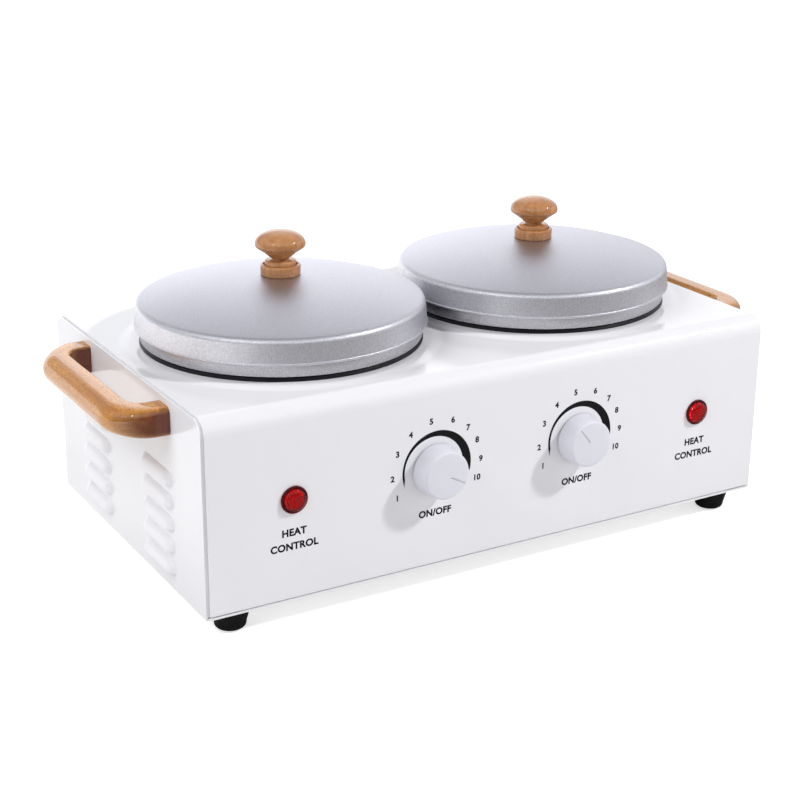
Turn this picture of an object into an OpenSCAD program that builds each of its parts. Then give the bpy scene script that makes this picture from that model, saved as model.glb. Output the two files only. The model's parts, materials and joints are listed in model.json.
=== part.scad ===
// Double wax warmer: a bent sheet case with two heated wells, each holding
// a lift-out pot with a domed lid, and a row of controls along the front.
// +X is to the right, -Y is the front, +Z is up. The origin is on the surface
// that the feet stand on, under the middle of the whole object.
// All sizes are in millimetres.

/* [Case] */
// Width over the two side panels
case_w = 380; // [360:1:460]
// Depth of the case, front to back
case_d = 221; // [212:1:280]
// Height of the case from its underside to its top
case_h = 114.6; // [104:0.2:150]
// Thickness of the steel sheet
sheet = 1; // [0.6:0.1:1.4]
// Outside radius of the bend between front and top
front_bend = 10; // [5:0.5:16]
// Outside radius of the bend between top and back
back_bend = 10; // [5:0.5:16]
// Strip of each side panel's fold that shows beside the shell
seam_strip = 2; // [1:0.5:4]
// Depth of the folded flanges inside the case
flange_d = 14; // [10:1:20]
// Clearance between sheets that lie on each other
sheet_gap = 0.15; // [0.1:0.05:0.3]
// Thickness of the bottom plate
plate_t = 1.2; // [0.8:0.1:2]
// Gap between the shell's lower edge and the bottom plate
lower_gap = 0.8; // [0.4:0.1:2]
// Distance of the seam in the back below the top of the case
back_seam = 20; // [18:1:34]
// Butt gap of the seam in the back
seam_gap = 0.4; // [0.2:0.1:0.8]

/* [Side vents] */
// Rows of louvres on each side panel
louvre_rows = 5; // [2:1:6]
// Height from one row of louvres to the next
louvre_pitch = 13.3; // [11:0.1:16]
// Lower edge of the lowest row, above the case's underside
louvre_start = 11; // [8:0.5:20]
// Length of one louvre
louvre_len = 44; // [36:1:50]
// Distance between the middles of the two columns
louvre_spread = 95; // [70:1:105]
// How far a louvre is pressed out
louvre_out = 3.5; // [2:0.1:5]
// Radius of the pressing tool
louvre_r = 9; // [7:0.5:12]

/* [Feet] */
// Height of the case above the table
foot_h = 14; // [8:0.5:20]
// Diameter of a foot where it meets the case
foot_top_d = 23; // [20:0.5:30]
// Diameter of a foot where it stands
foot_base_d = 15; // [13:0.5:20]
// Distance from a foot's middle to the side of the case
foot_in_x = 20; // [15:0.5:40]
// Distance from a foot's middle to the front or back of the case
foot_in_y = 15; // [15:0.5:40]

/* [Pots] */
// Distance between the middles of the two pots
pot_pitch = 179; // [179:0.5:190]
// How far the pots' middles lie in front of the case's middle
pot_fore = 2; // [0:0.5:4]
// Outside radius of the pot's upright rim
rim_r = 83.6; // [83.2:0.1:83.8]
// Height of the upright rim
rim_h = 21; // [16:0.1:24]
// Radius of the outer edge at the rim's foot
rim_edge = 1; // [0.5:0.1:1.4]
// Outside radius of the pot's body
pot_r = 72; // [60:0.5:72.5]
// Depth of the pot below its rim's foot
pot_depth = 76; // [50:1:78]
// Radius between the pot's wall and floor
pot_corner = 12; // [6:1:20]
// Thickness of the pot's wall
pot_t = 1.5; // [1:0.1:2]
// Clearance of pieces that lie on each other and lift off
rest_gap = 0.3; // [0.2:0.05:0.5]

/* [Lids] */
// Outside radius at the lower edge of the skirt
lid_r = 86.7; // [86.2:0.1:88.5]
// Outside radius at the shoulder
shoulder_r = 85.4; // [85.4:0.1:86]
// Radius of the rounded shoulder
shoulder_round = 3; // [2.6:0.1:6]
// Rise of the dome above the shoulder
lid_crown = 13; // [6:0.5:18]
// Height of the skirt below the top of the shoulder
skirt_h = 14.7; // [10:0.1:18]
// Thickness of the lid
lid_t = 1.2; // [1:0.1:1.4]

/* [Wells] */
// Outside radius of the heated cup
well_r = 76; // [74:0.5:78]
// Thickness of the heated cup
well_t = 1.2; // [0.8:0.1:1.6]
// Clearance under the pot inside the cup
well_under = 3; // [1:0.5:6]
// Radius of the hole in the case
hole_r = 80.5; // [80:0.5:81]
// Radius of the raised plinth round the hole
plinth_r = 97; // [92:0.5:104]
// Height of the plinth
plinth_h = 1; // [0.6:0.1:2]
// Outside radius of the black seat ring at its foot
seat_r = 84; // [83.8:0.1:86]
// Height of the seat ring above the plinth
seat_h = 1.9; // [1.6:0.1:3]
// Height of the band heater
heater_h = 30; // [20:1:40]
// Thickness of the band heater
heater_t = 3.4; // [2:0.1:4]

/* [Handles] */
// Length of a handle, front to back
handle_len = 136; // [110:1:160]
// How far a handle reaches out from the side
handle_reach = 31.7; // [28:0.1:40]
// Height of the wood
handle_h = 16.8; // [14:0.1:20]
// Top of the handles below the top of the case
handle_drop = 5; // [3:0.5:12]
// Width of a leg where it meets the side
leg_w = 16; // [14:0.5:18]
// Width of the grip
grip_w = 13.5; // [11:0.5:15]
// Radius of the bend at the middle of the wood
handle_bend = 17; // [15:0.5:20]
// How far the handles' middle lies in front of the case's middle
handle_fore = 2; // [0:0.5:6]

/* [Controls] */
// Height of the control row above the case's underside
control_z = 60.5; // [55:0.5:66]
// Shift of the whole control row to the right
control_shift = 2; // [0:0.5:4]
// Distance between the two control knobs
knob_pitch = 99; // [90:1:110]
// Distance between the two lamps
lamp_pitch = 278; // [250:1:300]
// Radius of a control knob at its back
knob_back_r = 15.2; // [14:0.1:17]
// Radius of a control knob at its face
knob_face_r = 14.2; // [12:0.1:16]
// Depth of a control knob
knob_deep = 12.8; // [11:0.2:18]
// Clearance behind a control knob
knob_gap = 0.8; // [0.5:0.1:1.5]
// Left knob's pointer, degrees clockwise from the top
left_setting = 118; // [-180:1:120]
// Right knob's pointer, degrees clockwise from the top
right_setting = -38; // [-180:1:120]
// Radius of the thermostat's shaft
shaft_r = 3; // [2.5:0.1:3.2]
// Running clearance round the shaft
shaft_gap = 0.05; // [0.02:0.01:0.1]
// Radius of a lamp's lens
lens_r = 8; // [7:0.1:10]
// How far a lens stands out
lens_out = 4; // [3:0.1:6]

/* [Lid knobs] */
// Height of the turned knob
turned_h = 26.2; // [24:0.1:30]
// Widest radius of its head
turned_head_r = 15; // [13:0.1:18]
// Height of the head's widest part
turned_wide_z = 17.8; // [16:0.1:20]
// Radius of its foot
turned_foot_r = 11.9; // [11:0.1:13]
// Height of its foot
turned_foot_h = 6; // [4:0.1:7]
// Radius of the collar on the foot
turned_collar_r = 9.4; // [8:0.1:10]
// Height of the collar's top
turned_collar_z = 8.8; // [8:0.1:10]
// Radius of the neck
turned_neck_r = 5.2; // [4.2:0.1:6.5]

/* [Cord entry] */
// Radius of the cord's passage
cord_r = 3.6; // [3:0.1:4.5]
// Height of the entry above the case's underside
entry_z = 28; // [26:1:60]
// Flange thickness of the bushing
entry_flange = 2.5; // [1.5:0.5:4]

/* [Hidden] */
$fn = 96;
eps = 0.01;

// The knobs stand out in front and the bushing behind, so the case lies
// a little back from the origin
knob_out = knob_gap + knob_deep;
case_y = (knob_out - entry_flange) / 2;
front_y = case_y - case_d / 2;
back_y = case_y + case_d / 2;
base_z = foot_h;
top_z = foot_h + case_h;
panel_z = base_z + control_z;
pot_y = case_y - pot_fore;
seam_z = top_z - back_seam;

// Heights of the stack on the case's top
plinth_z = top_z + plinth_h;
lip_t = 0.8;
seat_z = plinth_z + seat_h;
rim_z = seat_z + rest_gap;
pot_floor_z = rim_z - pot_depth;
well_floor_z = pot_floor_z - well_under;
rim_top_z = rim_z + rim_h;

// Lid: the dome is a sphere that runs smoothly into the round shoulder
shoulder_in = shoulder_r - shoulder_round;
lid_slack = 0.35;
rim_to_shoulder = shoulder_round - lid_t
  - sqrt(pow(shoulder_round - lid_t, 2) - pow(rim_r - shoulder_in, 2));
shoulder_top_z = rim_top_z + lid_slack + lid_t + rim_to_shoulder;
shoulder_z = shoulder_top_z - shoulder_round;
dome_r = (pow(shoulder_in, 2) + pow(lid_crown, 2) + 2 * lid_crown * shoulder_round)
  / (2 * lid_crown);
lid_top_z = shoulder_top_z + lid_crown;
lid_under_z = lid_top_z - lid_t;
skirt_z = shoulder_top_z - skirt_h;

// Handles
handle_z = top_z - handle_drop - handle_h;
handle_y = case_y - handle_fore;
leg_y = (handle_len - leg_w) / 2;
grip_x = handle_reach - grip_w / 2;
handle_screw_r = 2.5;
screw_slack = 0.05;

// Small fasteners
m4_r = 2;
m3_r = 1.5;
foot_nut_r = 4;

white = "white";
steel = [0.72, 0.73, 0.75];
aluminium = [0.80, 0.81, 0.85];
wood = [0.72, 0.50, 0.28];
black = [0.08, 0.08, 0.09];

// Helpers

function side_name(side) = side < 0 ? "left" : "right";

// Points of an arc of radius r about [x, y] from angle a to angle b
function arc(x, y, r, a, b, steps) =
  [for (i = [0 : steps]) let (t = a + (b - a) * i / steps) [x + r * cos(t), y + r * sin(t)]];

// Places children on the front panel: local +Z points out of it, +Y is up
module on_front(x) {
  translate([x + control_shift, front_y, panel_z]) rotate([90, 0, 0]) children();
}

module on_back(x, z) {
  translate([x, back_y, z]) rotate([-90, 0, 0]) children();
}

module at_pot(side) {
  translate([side * pot_pitch / 2, pot_y, 0]) children();
}

// Mirrors the left side's shape to the right side
module on_side(side) {
  if (side < 0) children();
  else mirror([1, 0, 0]) children();
}

// Outline of the case seen from its left end: X is front to back, Y is height
module case_outline(inset) {
  d = case_d - 2 * inset;
  h = case_h - inset;
  rf = front_bend - inset;
  rb = back_bend - inset;
  translate([case_y, base_z]) union() {
    translate([-d / 2, 0]) square([d, h - max(rf, rb)]);
    translate([-d / 2 + rf, 0]) square([d - rf - rb, h]);
    translate([-d / 2 + rf, h - rf]) circle(rf);
    translate([d / 2 - rb, h - rb]) circle(rb);
    translate([-d / 2, h - max(rf, rb) - eps]) square([rf, max(rf, rb) - rf + eps]);
    translate([d / 2 - rb, h - max(rf, rb) - eps]) square([rb, max(rf, rb) - rb + eps]);
  }
}

// Extrudes a drawing of the case's end along X, from x0 to x1
module along_x(x0, x1) {
  translate([x0, 0, 0]) rotate([90, 0, 90]) linear_extrude(x1 - x0) children();
}

// Case

module plinth_ring() {
  slope = 9;
  steps = 8;
  top_line = [for (i = [0 : steps])
    [plinth_r - slope * i / steps, top_z + plinth_h * (1 - cos(180 * i / steps)) / 2]];
  under_line = [for (i = [steps : -1 : 0]) top_line[i] - [0, sheet]];
  lip = 3;
  rotate_extrude() union() {
    polygon(concat([[plinth_r + 1, top_z]], top_line, under_line, [[plinth_r + 1, top_z - sheet]]));
    translate([hole_r, plinth_z - sheet]) square([plinth_r - slope - hole_r + eps, sheet]);
    translate([hole_r, plinth_z - lip]) square([sheet, lip]);
  }
}

// One sheet bent over front and top; its back edge is turned down to the seam
module case_shell() {
  color(white) difference() {
    union() {
      difference() {
        along_x(-case_w / 2 + seam_strip, case_w / 2 - seam_strip) difference() {
          case_outline(0);
          case_outline(sheet);
          translate([front_y - 1, 0]) square([case_d + 2, base_z + plate_t + lower_gap]);
          translate([case_y, 0]) square([case_d, seam_z]);
        }
        for (side = [-1, 1])
          at_pot(side) translate([0, 0, top_z - 5]) cylinder(r = plinth_r, h = 10);
      }
      for (side = [-1, 1]) at_pot(side) plinth_ring();
    }
    for (side = [-1, 1]) {
      on_front(side * knob_pitch / 2) translate([0, 0, -5]) cylinder(r = bushing_r + 0.2, h = 10);
      on_front(side * lamp_pitch / 2) translate([0, 0, -5]) cylinder(r = stem_r + 0.2, h = 10);
    }
  }
}

back_screw_x = [-150, -50, 50, 150];
plate_flange_h = 13;
back_screw_z = base_z + plate_t + plate_flange_h / 2;

module at_back_side_screws() {
  for (x = [-1, 1], z = [base_z + 36, seam_z - 14]) on_back(x * side_screw_x, z) children();
}

// Flat sheet with a stepped tongue that lies behind the shell's turned-down edge
module back_panel() {
  z0 = base_z + plate_t + lower_gap;
  z1 = seam_z - seam_gap;
  tongue = 9;
  tongue_x = case_w / 2 - sheet - flange_d - 3;
  y1 = back_y - sheet - sheet_gap;
  color(white) difference() {
    union() {
      translate([-case_w / 2 + seam_strip, back_y - sheet, z0])
        cube([case_w - 2 * seam_strip, sheet, z1 - z0]);
      along_x(-tongue_x, tongue_x) polygon([
        [back_y - sheet / 2, z1 - 3], [back_y - sheet / 2, z1], [y1, z1], [y1, z1 + tongue],
        [y1 - sheet, z1 + tongue], [y1 - sheet, z1 - 1.8], [back_y - sheet, z1 - 3]
      ]);
    }
    on_back(0, base_z + entry_z) translate([0, 0, -5]) cylinder(r = barrel_r + 0.2, h = 10);
    for (x = back_screw_x) on_back(x, back_screw_z) translate([0, 0, -5]) cylinder(r = m3_r + 0.2, h = 10);
    at_back_side_screws() translate([0, 0, -5]) cylinder(r = m3_r + 0.2, h = 10);
  }
}

module louvre_form(r) {
  straight = louvre_len - 2 * sqrt(pow(louvre_r, 2) - pow(louvre_r - louvre_out, 2));
  rotate([90, 0, 0]) cylinder(r = r, h = straight, center = true);
  for (end = [-1, 1]) translate([0, end * straight / 2, 0]) sphere(r);
}

// The upper half of the pressed form, cut off level at its open lower edge
module louvre_half(r) {
  intersection() {
    louvre_form(r);
    translate([-2 * louvre_r, -louvre_len, 0]) cube([4 * louvre_r, 2 * louvre_len, 2 * louvre_r]);
  }
}

module at_louvres() {
  for (row = [0 : louvre_rows - 1], column = [-1, 1])
    translate([
      -case_w / 2 + louvre_r - louvre_out,
      case_y + column * louvre_spread / 2,
      base_z + louvre_start + row * louvre_pitch
    ]) children();
}

panel_inset = sheet + sheet_gap;
side_screw_x = case_w / 2 - sheet - flange_d / 2;
side_screw_y = [-60, -20, 20, 60];
foot_ys = [-1, 1];

module side_panel() {
  x0 = -case_w / 2;
  color(white) difference() {
    union() {
      difference() {
        along_x(x0, x0 + sheet) case_outline(panel_inset);
        at_louvres() louvre_half(louvre_r - sheet);
      }
      difference() {
        at_louvres() louvre_half(louvre_r);
        at_louvres() louvre_half(louvre_r - sheet);
        translate([x0 + sheet, front_y, 0]) cube([case_w, case_d, top_z]);
      }
      along_x(x0 + sheet - eps, x0 + sheet + flange_d) difference() {
        case_outline(panel_inset);
        case_outline(panel_inset + sheet);
        translate([front_y, 0]) square([case_d, base_z + plate_t + lower_gap]);
      }
      translate([x0 + sheet - eps, case_y - case_d / 2 + 20, base_z + plate_t + sheet_gap])
        cube([flange_d, case_d - 40, sheet]);
    }
    for (end = [-1, 1])
      translate([x0 - 5, handle_y + end * leg_y, handle_z + handle_h / 2])
        rotate([0, 90, 0]) cylinder(r = handle_screw_r + 0.2, h = 12);
    for (y = side_screw_y)
      translate([-side_screw_x, case_y + y, base_z]) cylinder(r = m3_r + screw_slack, h = 8);
    at_back_side_screws() translate([0, 0, -5]) cylinder(r = m3_r + screw_slack, h = 10);
  }
}

module left_side_panel() { on_side(-1) side_panel(); }
module right_side_panel() { on_side(1) side_panel(); }

module vent_slots() {
  slot_l = 26;
  slot_w = 3;
  for (side = [-1, 1], column = [-1, 1], row = [0 : 5])
    translate([side * pot_pitch / 2 + column * 46, case_y + (row - 2.5) * 9, base_z - 1]) union() {
      translate([-slot_l / 2, -slot_w / 2, 0]) cube([slot_l, slot_w, 4]);
      for (end = [-1, 1]) translate([end * slot_l / 2, 0, 0]) cylinder(d = slot_w, h = 4);
    }
}

module at_feet() {
  for (x = [-1, 1], y = foot_ys)
    translate([x * (case_w / 2 - foot_in_x), case_y + y * (case_d / 2 - foot_in_y), 0]) children();
}

module at_side_screws() {
  for (x = [-1, 1], y = side_screw_y) translate([x * side_screw_x, case_y + y, 0]) children();
}

bracket_foot_x = 46;

module at_bracket_feet() {
  for (side = [-1, 1], end = [-1, 1])
    at_pot(side) translate([0, end * bracket_foot_x, 0]) children();
}

module bottom_plate() {
  plate_x = case_w / 2 - sheet - 0.3;
  flange_x = case_w / 2 - sheet - flange_d - 4;
  inner_y = case_d / 2 - sheet - sheet_gap;
  color(white) difference() {
    union() {
      translate([-plate_x, case_y - case_d / 2, base_z]) cube([2 * plate_x, case_d, plate_t]);
      for (y = [case_y - inner_y, case_y + inner_y - sheet])
        translate([-flange_x, y, base_z + plate_t - eps]) cube([2 * flange_x, sheet, plate_flange_h]);
    }
    vent_slots();
    at_feet() cylinder(r = m4_r + 0.2, h = 60);
    at_side_screws() cylinder(r = m3_r + 0.2, h = 60);
    at_bracket_feet() cylinder(r = m3_r + 0.2, h = 60);
    for (x = back_screw_x)
      on_back(x, back_screw_z) translate([0, 0, -5]) cylinder(r = m3_r + screw_slack, h = 10);
    for (x = [-1, 1]) translate([x * block_hole_x, block_y, 0]) cylinder(r = m3_r + screw_slack, h = 60);
  }
}

module pan_screw(r, head_r, head_h, length) {
  // Head below z = 0, shank upwards
  translate([0, 0, -head_h]) union() {
    translate([0, 0, head_h * 0.4]) cylinder(r = head_r, h = head_h * 0.6);
    cylinder(r1 = head_r * 0.75, r2 = head_r, h = head_h * 0.4);
    cylinder(r = r, h = head_h + length);
  }
}

module nut(r, bore, h) {
  difference() {
    cylinder(r = r, h = h, $fn = 6);
    translate([0, 0, -1]) cylinder(r = bore, h = h + 2, $fn = 48);
  }
}

module bottom_screws() {
  color(steel) {
    at_side_screws() translate([0, 0, base_z]) pan_screw(m3_r, 2.8, 1.8, 7);
    at_bracket_feet() {
      translate([0, 0, base_z]) pan_screw(m3_r, 2.8, 1.8, 6.5);
      translate([0, 0, base_z + plate_t + bracket_t]) nut(3.1, m3_r + screw_slack, 2.4);
    }
    for (x = [-1, 1]) translate([x * block_hole_x, block_y, base_z]) {
      pan_screw(m3_r, 2.8, 1.8, 13);
      translate([0, 0, plate_t + 8]) nut(3.1, m3_r + screw_slack, 2.4);
    }
  }
}

module back_screws() {
  color(steel) {
    for (x = back_screw_x) on_back(x, back_screw_z) mirror([0, 0, 1]) pan_screw(m3_r, 2.8, 1.8, 7);
    at_back_side_screws() mirror([0, 0, 1]) pan_screw(m3_r, 2.8, 1.8, 7);
  }
}

// Handles: one swept piece of wood. Its section is square at the legs and
// rounds over on the outer side along the grip.

bend_steps = 8;
grip_steps = 4;
corner_steps = 5;
leg_straight = grip_x - handle_bend;

// Half of the centre line as [x outwards, y, heading], from the wall to the middle
half_path = concat(
  [for (i = [0 : 1]) [leg_straight * i, leg_y, 0]],
  [for (i = [1 : bend_steps]) let (a = 90 * i / bend_steps)
    [leg_straight + handle_bend * sin(a), leg_y - handle_bend * (1 - cos(a)), a]],
  [for (i = [1 : grip_steps]) [grip_x, (leg_y - handle_bend) * (1 - i / grip_steps), 90]]
);
half_count = len(half_path);
handle_path = concat(
  half_path,
  [for (i = [half_count - 2 : -1 : 0])
    [half_path[i][0], -half_path[i][1], 180 - half_path[i][2]]]
);

// How far the wood has changed from leg to grip, 0 at the wall and 1 after the bend
function blend_at(p) = let (t = min(1, max(0, (leg_y - abs(p[1])) / handle_bend + p[0] / grip_x / 2)))
  min(1, t * t * (3 - 2 * t));
function wood_width(p) = leg_w + (grip_w - leg_w) * blend_at(p);
function outer_round(p) = 1.5 + (handle_h / 2 - 1.7) * blend_at(p);

// Section across the path: u is inwards from the outer side, v is upwards
function wood_section(w, r_out, r_in) = let (h = handle_h) concat(
  arc(r_out - w / 2, h - r_out, r_out, 180, 90, corner_steps),
  arc(w / 2 - r_in, h - r_in, r_in, 90, 0, corner_steps),
  arc(w / 2 - r_in, r_in, r_in, 0, -90, corner_steps),
  arc(r_out - w / 2, r_out, r_out, -90, -180, corner_steps)
);
section_count = 4 * (corner_steps + 1);

function wood_ring(p) = [for (q = wood_section(wood_width(p), outer_round(p), 1.8))
  [-p[0] + q[0] * sin(p[2]), p[1] - q[0] * cos(p[2]), q[1]]];

module wood_bow() {
  rings = len(handle_path);
  points = [for (p = handle_path) each wood_ring(p)];
  function at(i, j) = i * section_count + j % section_count;
  polyhedron(
    points = points,
    faces = concat(
      [[for (j = [section_count - 1 : -1 : 0]) j]],
      [for (i = [0 : rings - 2], j = [0 : section_count - 1])
        each [[at(i, j), at(i, j + 1), at(i + 1, j + 1)], [at(i, j), at(i + 1, j + 1), at(i + 1, j)]]],
      [[for (j = [0 : section_count - 1]) at(rings - 1, j)]]
    ),
    convexity = 6
  );
}

pilot_deep = 22;

module handle() {
  color(wood) difference() {
    translate([-case_w / 2, handle_y, handle_z]) wood_bow();
    for (end = [-1, 1])
      translate([-case_w / 2 - pilot_deep, handle_y + end * leg_y, handle_z + handle_h / 2])
        rotate([0, 90, 0]) cylinder(r = handle_screw_r + screw_slack, h = pilot_deep + 1);
  }
}

module left_handle() { on_side(-1) handle(); }
module right_handle() { on_side(1) handle(); }

module handle_screws() {
  head_h = 3;
  color(steel) for (side = [-1, 1], end = [-1, 1]) on_side(side)
    translate([-case_w / 2 + sheet, handle_y + end * leg_y, handle_z + handle_h / 2])
      rotate([0, -90, 0]) pan_screw(handle_screw_r, 4.6, head_h, pilot_deep);
}

// Feet

foot_recess_r = 4.4;
foot_web = 4;

module foot() {
  edge = 3;
  rotate_extrude() difference() {
    union() {
      polygon([
        [0, edge], [foot_base_d / 2 + 1.6, edge], [foot_top_d / 2, foot_h - 2],
        [foot_top_d / 2, foot_h], [0, foot_h]
      ]);
      square([foot_base_d / 2 + 1.6 - edge, edge + eps]);
      translate([foot_base_d / 2 + 1.6 - edge, edge]) circle(edge);
    }
    translate([-20, 0]) square([20, 40]);
    translate([-1, -1]) square([foot_recess_r + 1, foot_h - foot_web + 1]);
    translate([-1, -1]) square([m4_r + 0.2 + 1, 40]);
  }
}

module foot_at(x, y) {
  color(black)
    translate([x * (case_w / 2 - foot_in_x), case_y + y * (case_d / 2 - foot_in_y), 0]) foot();
}

module front_left_foot() { foot_at(-1, -1); }
module front_right_foot() { foot_at(1, -1); }
module back_left_foot() { foot_at(-1, 1); }
module back_right_foot() { foot_at(1, 1); }

module foot_screws() {
  color(steel) at_feet() {
    translate([0, 0, foot_h - foot_web]) pan_screw(m4_r, 4, 2.4, foot_web + plate_t + 5);
    translate([0, 0, base_z + plate_t]) nut(foot_nut_r, m4_r + screw_slack, 3.2);
  }
}

// Wells and heaters

stud_r = 3;
stud_len = 14;
lip_r = hole_r + 1.4;

module heating_well() {
  well_h = plinth_z - well_floor_z;
  corner = 10;
  inner = well_r - well_t;
  color(aluminium) union() {
    translate([0, 0, well_floor_z]) rotate_extrude() difference() {
      union() {
        square([well_r - corner, corner]);
        translate([0, corner]) square([well_r, well_h - corner + lip_t]);
        translate([well_r - corner, corner]) circle(corner);
        translate([0, well_h]) square([lip_r, lip_t]);
      }
      translate([-200, -50]) square([200, 400]);
      translate([0, well_t]) square([well_r - corner, corner]);
      translate([0, corner]) square([inner, well_h]);
      translate([well_r - corner, corner]) circle(corner - well_t);
    }
    translate([0, 0, well_floor_z - stud_len]) cylinder(r = stud_r, h = stud_len + eps);
    translate([0, 0, well_floor_z - 1.2]) cylinder(r = 9, h = 1.2 + eps);
  }
}

module left_heating_well() { at_pot(-1) heating_well(); }
module right_heating_well() { at_pot(1) heating_well(); }

heater_z = well_floor_z + 12;
heater_gap_w = 9;

// A strip heater bent round the well, closed by a screw through two ears
module band_heater(side) {
  inner = well_r + 0.05;
  outer = inner + heater_t;
  ear = 9;
  ear_t = 1.5;
  color(steel) at_pot(side) rotate([0, 0, 90]) translate([0, 0, heater_z]) {
    difference() {
      cylinder(r = outer, h = heater_h);
      translate([0, 0, -1]) cylinder(r = inner, h = heater_h + 2);
      translate([0, -heater_gap_w / 2, -1]) cube([outer + 5, heater_gap_w, heater_h + 2]);
    }
    for (s = [-1, 1]) difference() {
      translate([outer - 0.5, s * (heater_gap_w + ear_t) / 2 - ear_t / 2, heater_h / 2 - 6])
        cube([ear, ear_t, 12]);
      translate([outer + ear / 2 + 1, s * heater_gap_w, heater_h / 2])
        rotate([90, 0, 0]) cylinder(r = m3_r + screw_slack, h = 20, center = true, $fn = 48);
    }
    translate([outer + ear / 2 + 1, -heater_gap_w / 2 - ear_t, heater_h / 2])
      rotate([-90, 0, 0]) pan_screw(m3_r, 2.8, 1.8, heater_gap_w + 2 * ear_t + 4);
    translate([outer + ear / 2 + 1, heater_gap_w / 2 + ear_t, heater_h / 2])
      rotate([-90, 0, 0]) nut(3.1, m3_r + screw_slack, 2.4);
    for (s = [-1, 1]) rotate([0, 0, s * 12])
      translate([outer - 0.5, 0, heater_h / 2]) rotate([0, 90, 0]) cylinder(r = 2, h = 6, $fn = 48);
  }
}

module left_band_heater() { band_heater(-1); }
module right_band_heater() { band_heater(1); }

bracket_t = 1.5;
bracket_w = 24;
bracket_top_z = well_floor_z - 1.2 - 7;

// A strap bent like a hat: the well's stud pulls down on its top
module tie_bracket() {
  foot_l = 16;
  z0 = base_z + plate_t;
  inner = bracket_foot_x - foot_l / 2;
  color(steel) difference() {
    union() {
      for (s = [-1, 1]) {
        translate([-bracket_w / 2, s > 0 ? inner - bracket_t : -inner - foot_l, z0])
          cube([bracket_w, foot_l + bracket_t, bracket_t]);
        translate([-bracket_w / 2, s > 0 ? inner - bracket_t : -inner, z0])
          cube([bracket_w, bracket_t, bracket_top_z - z0]);
      }
      translate([-bracket_w / 2, -inner, bracket_top_z - bracket_t]) cube([bracket_w, 2 * inner, bracket_t]);
    }
    cylinder(r = stud_r + 0.3, h = 100);
    for (s = [-1, 1]) translate([0, s * bracket_foot_x, 0]) cylinder(r = m3_r + screw_slack, h = 40);
  }
}

module left_tie_bracket() { at_pot(-1) tie_bracket(); }
module right_tie_bracket() { at_pot(1) tie_bracket(); }

module tie_nuts() {
  color(steel) for (side = [-1, 1]) at_pot(side) {
    translate([0, 0, bracket_top_z - bracket_t - 4.8]) nut(5.8, stud_r + screw_slack, 4.8);
    translate([0, 0, bracket_top_z]) nut(5.8, stud_r + screw_slack, 4.8);
  }
}

// A fuse in a ceramic sleeve, held by a clip against the well's floor
module thermal_fuse(side) {
  sleeve_r = 3;
  color("ivory") at_pot(side) translate([0, 32, well_floor_z - sleeve_r]) rotate([0, 90, 0]) union() {
    cylinder(r = sleeve_r, h = 24, center = true, $fn = 48);
    cylinder(r = 0.6, h = 40, center = true, $fn = 24);
  }
}

module left_thermal_fuse() { thermal_fuse(-1); }
module right_thermal_fuse() { thermal_fuse(1); }

// Moulded ring that keeps the hot well and pot off the painted case. It reaches
// over the well's lip, and its outer side slopes in to the top.
module seat_ring() {
  lip_clear = 0.15;
  top_r = seat_r - 1.4;
  color(black) rotate_extrude() polygon([
    [well_r - 0.5, plinth_z + lip_t], [lip_r + lip_clear, plinth_z + lip_t], [lip_r + lip_clear, plinth_z],
    [seat_r, plinth_z], [seat_r, plinth_z + 0.5], [top_r, seat_z], [well_r - 0.5, seat_z]
  ]);
}

module left_seat_ring() { at_pot(-1) seat_ring(); }
module right_seat_ring() { at_pot(1) seat_ring(); }

// Pots and lids

// Half section of the pot's bowl, grown inwards by the given amount
module bowl_section(inset) {
  r = pot_r - inset;
  corner = pot_corner - inset;
  union() {
    translate([0, pot_floor_z + inset]) square([r - corner, corner]);
    translate([0, pot_floor_z + inset + corner]) square([r, rim_z + pot_t - pot_floor_z - inset - corner]);
    translate([r - corner, pot_floor_z + inset + corner]) circle(corner);
  }
}

module pot() {
  lip_in = 3;
  color(aluminium) rotate_extrude() difference() {
    union() {
      bowl_section(0);
      translate([0, rim_z]) square([rim_r - rim_edge, pot_t]);
      translate([rim_r - rim_edge, rim_z + rim_edge]) circle(rim_edge);
      translate([rim_r - pot_t, rim_z + rim_edge]) square([pot_t, rim_h - rim_edge - pot_t / 2]);
      translate([rim_r - lip_in, rim_top_z - pot_t]) square([lip_in - pot_t / 2, pot_t]);
      translate([rim_r - pot_t / 2, rim_top_z - pot_t / 2]) circle(pot_t / 2);
      translate([rim_r - lip_in, rim_top_z - pot_t / 2]) circle(pot_t / 2);
    }
    bowl_section(pot_t);
    translate([-200, 0]) square([200, 300]);
  }
}

module left_pot() { at_pot(-1) pot(); }
module right_pot() { at_pot(1) pot(); }

lid_screw_r = 2;
lid_bead = 0.9;
dome_z = lid_top_z - dome_r;
tangent = atan2(shoulder_z - dome_z, shoulder_in);

// The lid's line from the middle over the dome and shoulder, grown inwards
function lid_line(inset) = concat(
  arc(0, dome_z, dome_r - inset, 90, tangent, 24),
  [for (i = [1 : 9]) let (t = tangent * (1 - i / 9))
    [shoulder_in + (shoulder_round - inset) * cos(t), shoulder_z + (shoulder_round - inset) * sin(t)]]
);
function reversed(list) = [for (i = [len(list) - 1 : -1 : 0]) list[i]];

module lid() {
  flare = (lid_r - shoulder_r) / (shoulder_z - skirt_z);
  color(aluminium) difference() {
    rotate_extrude() polygon(concat(
      lid_line(0),
      arc(lid_r - lid_bead, skirt_z, lid_bead, 0, -180, 8),
      [[lid_r - lid_t - 0.6 * flare, skirt_z + 0.6]],
      reversed(lid_line(lid_t))
    ));
    cylinder(r = lid_screw_r + 0.2, h = 400);
  }
}

module left_lid() { at_pot(-1) lid(); }
module right_lid() { at_pot(1) lid(); }

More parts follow.
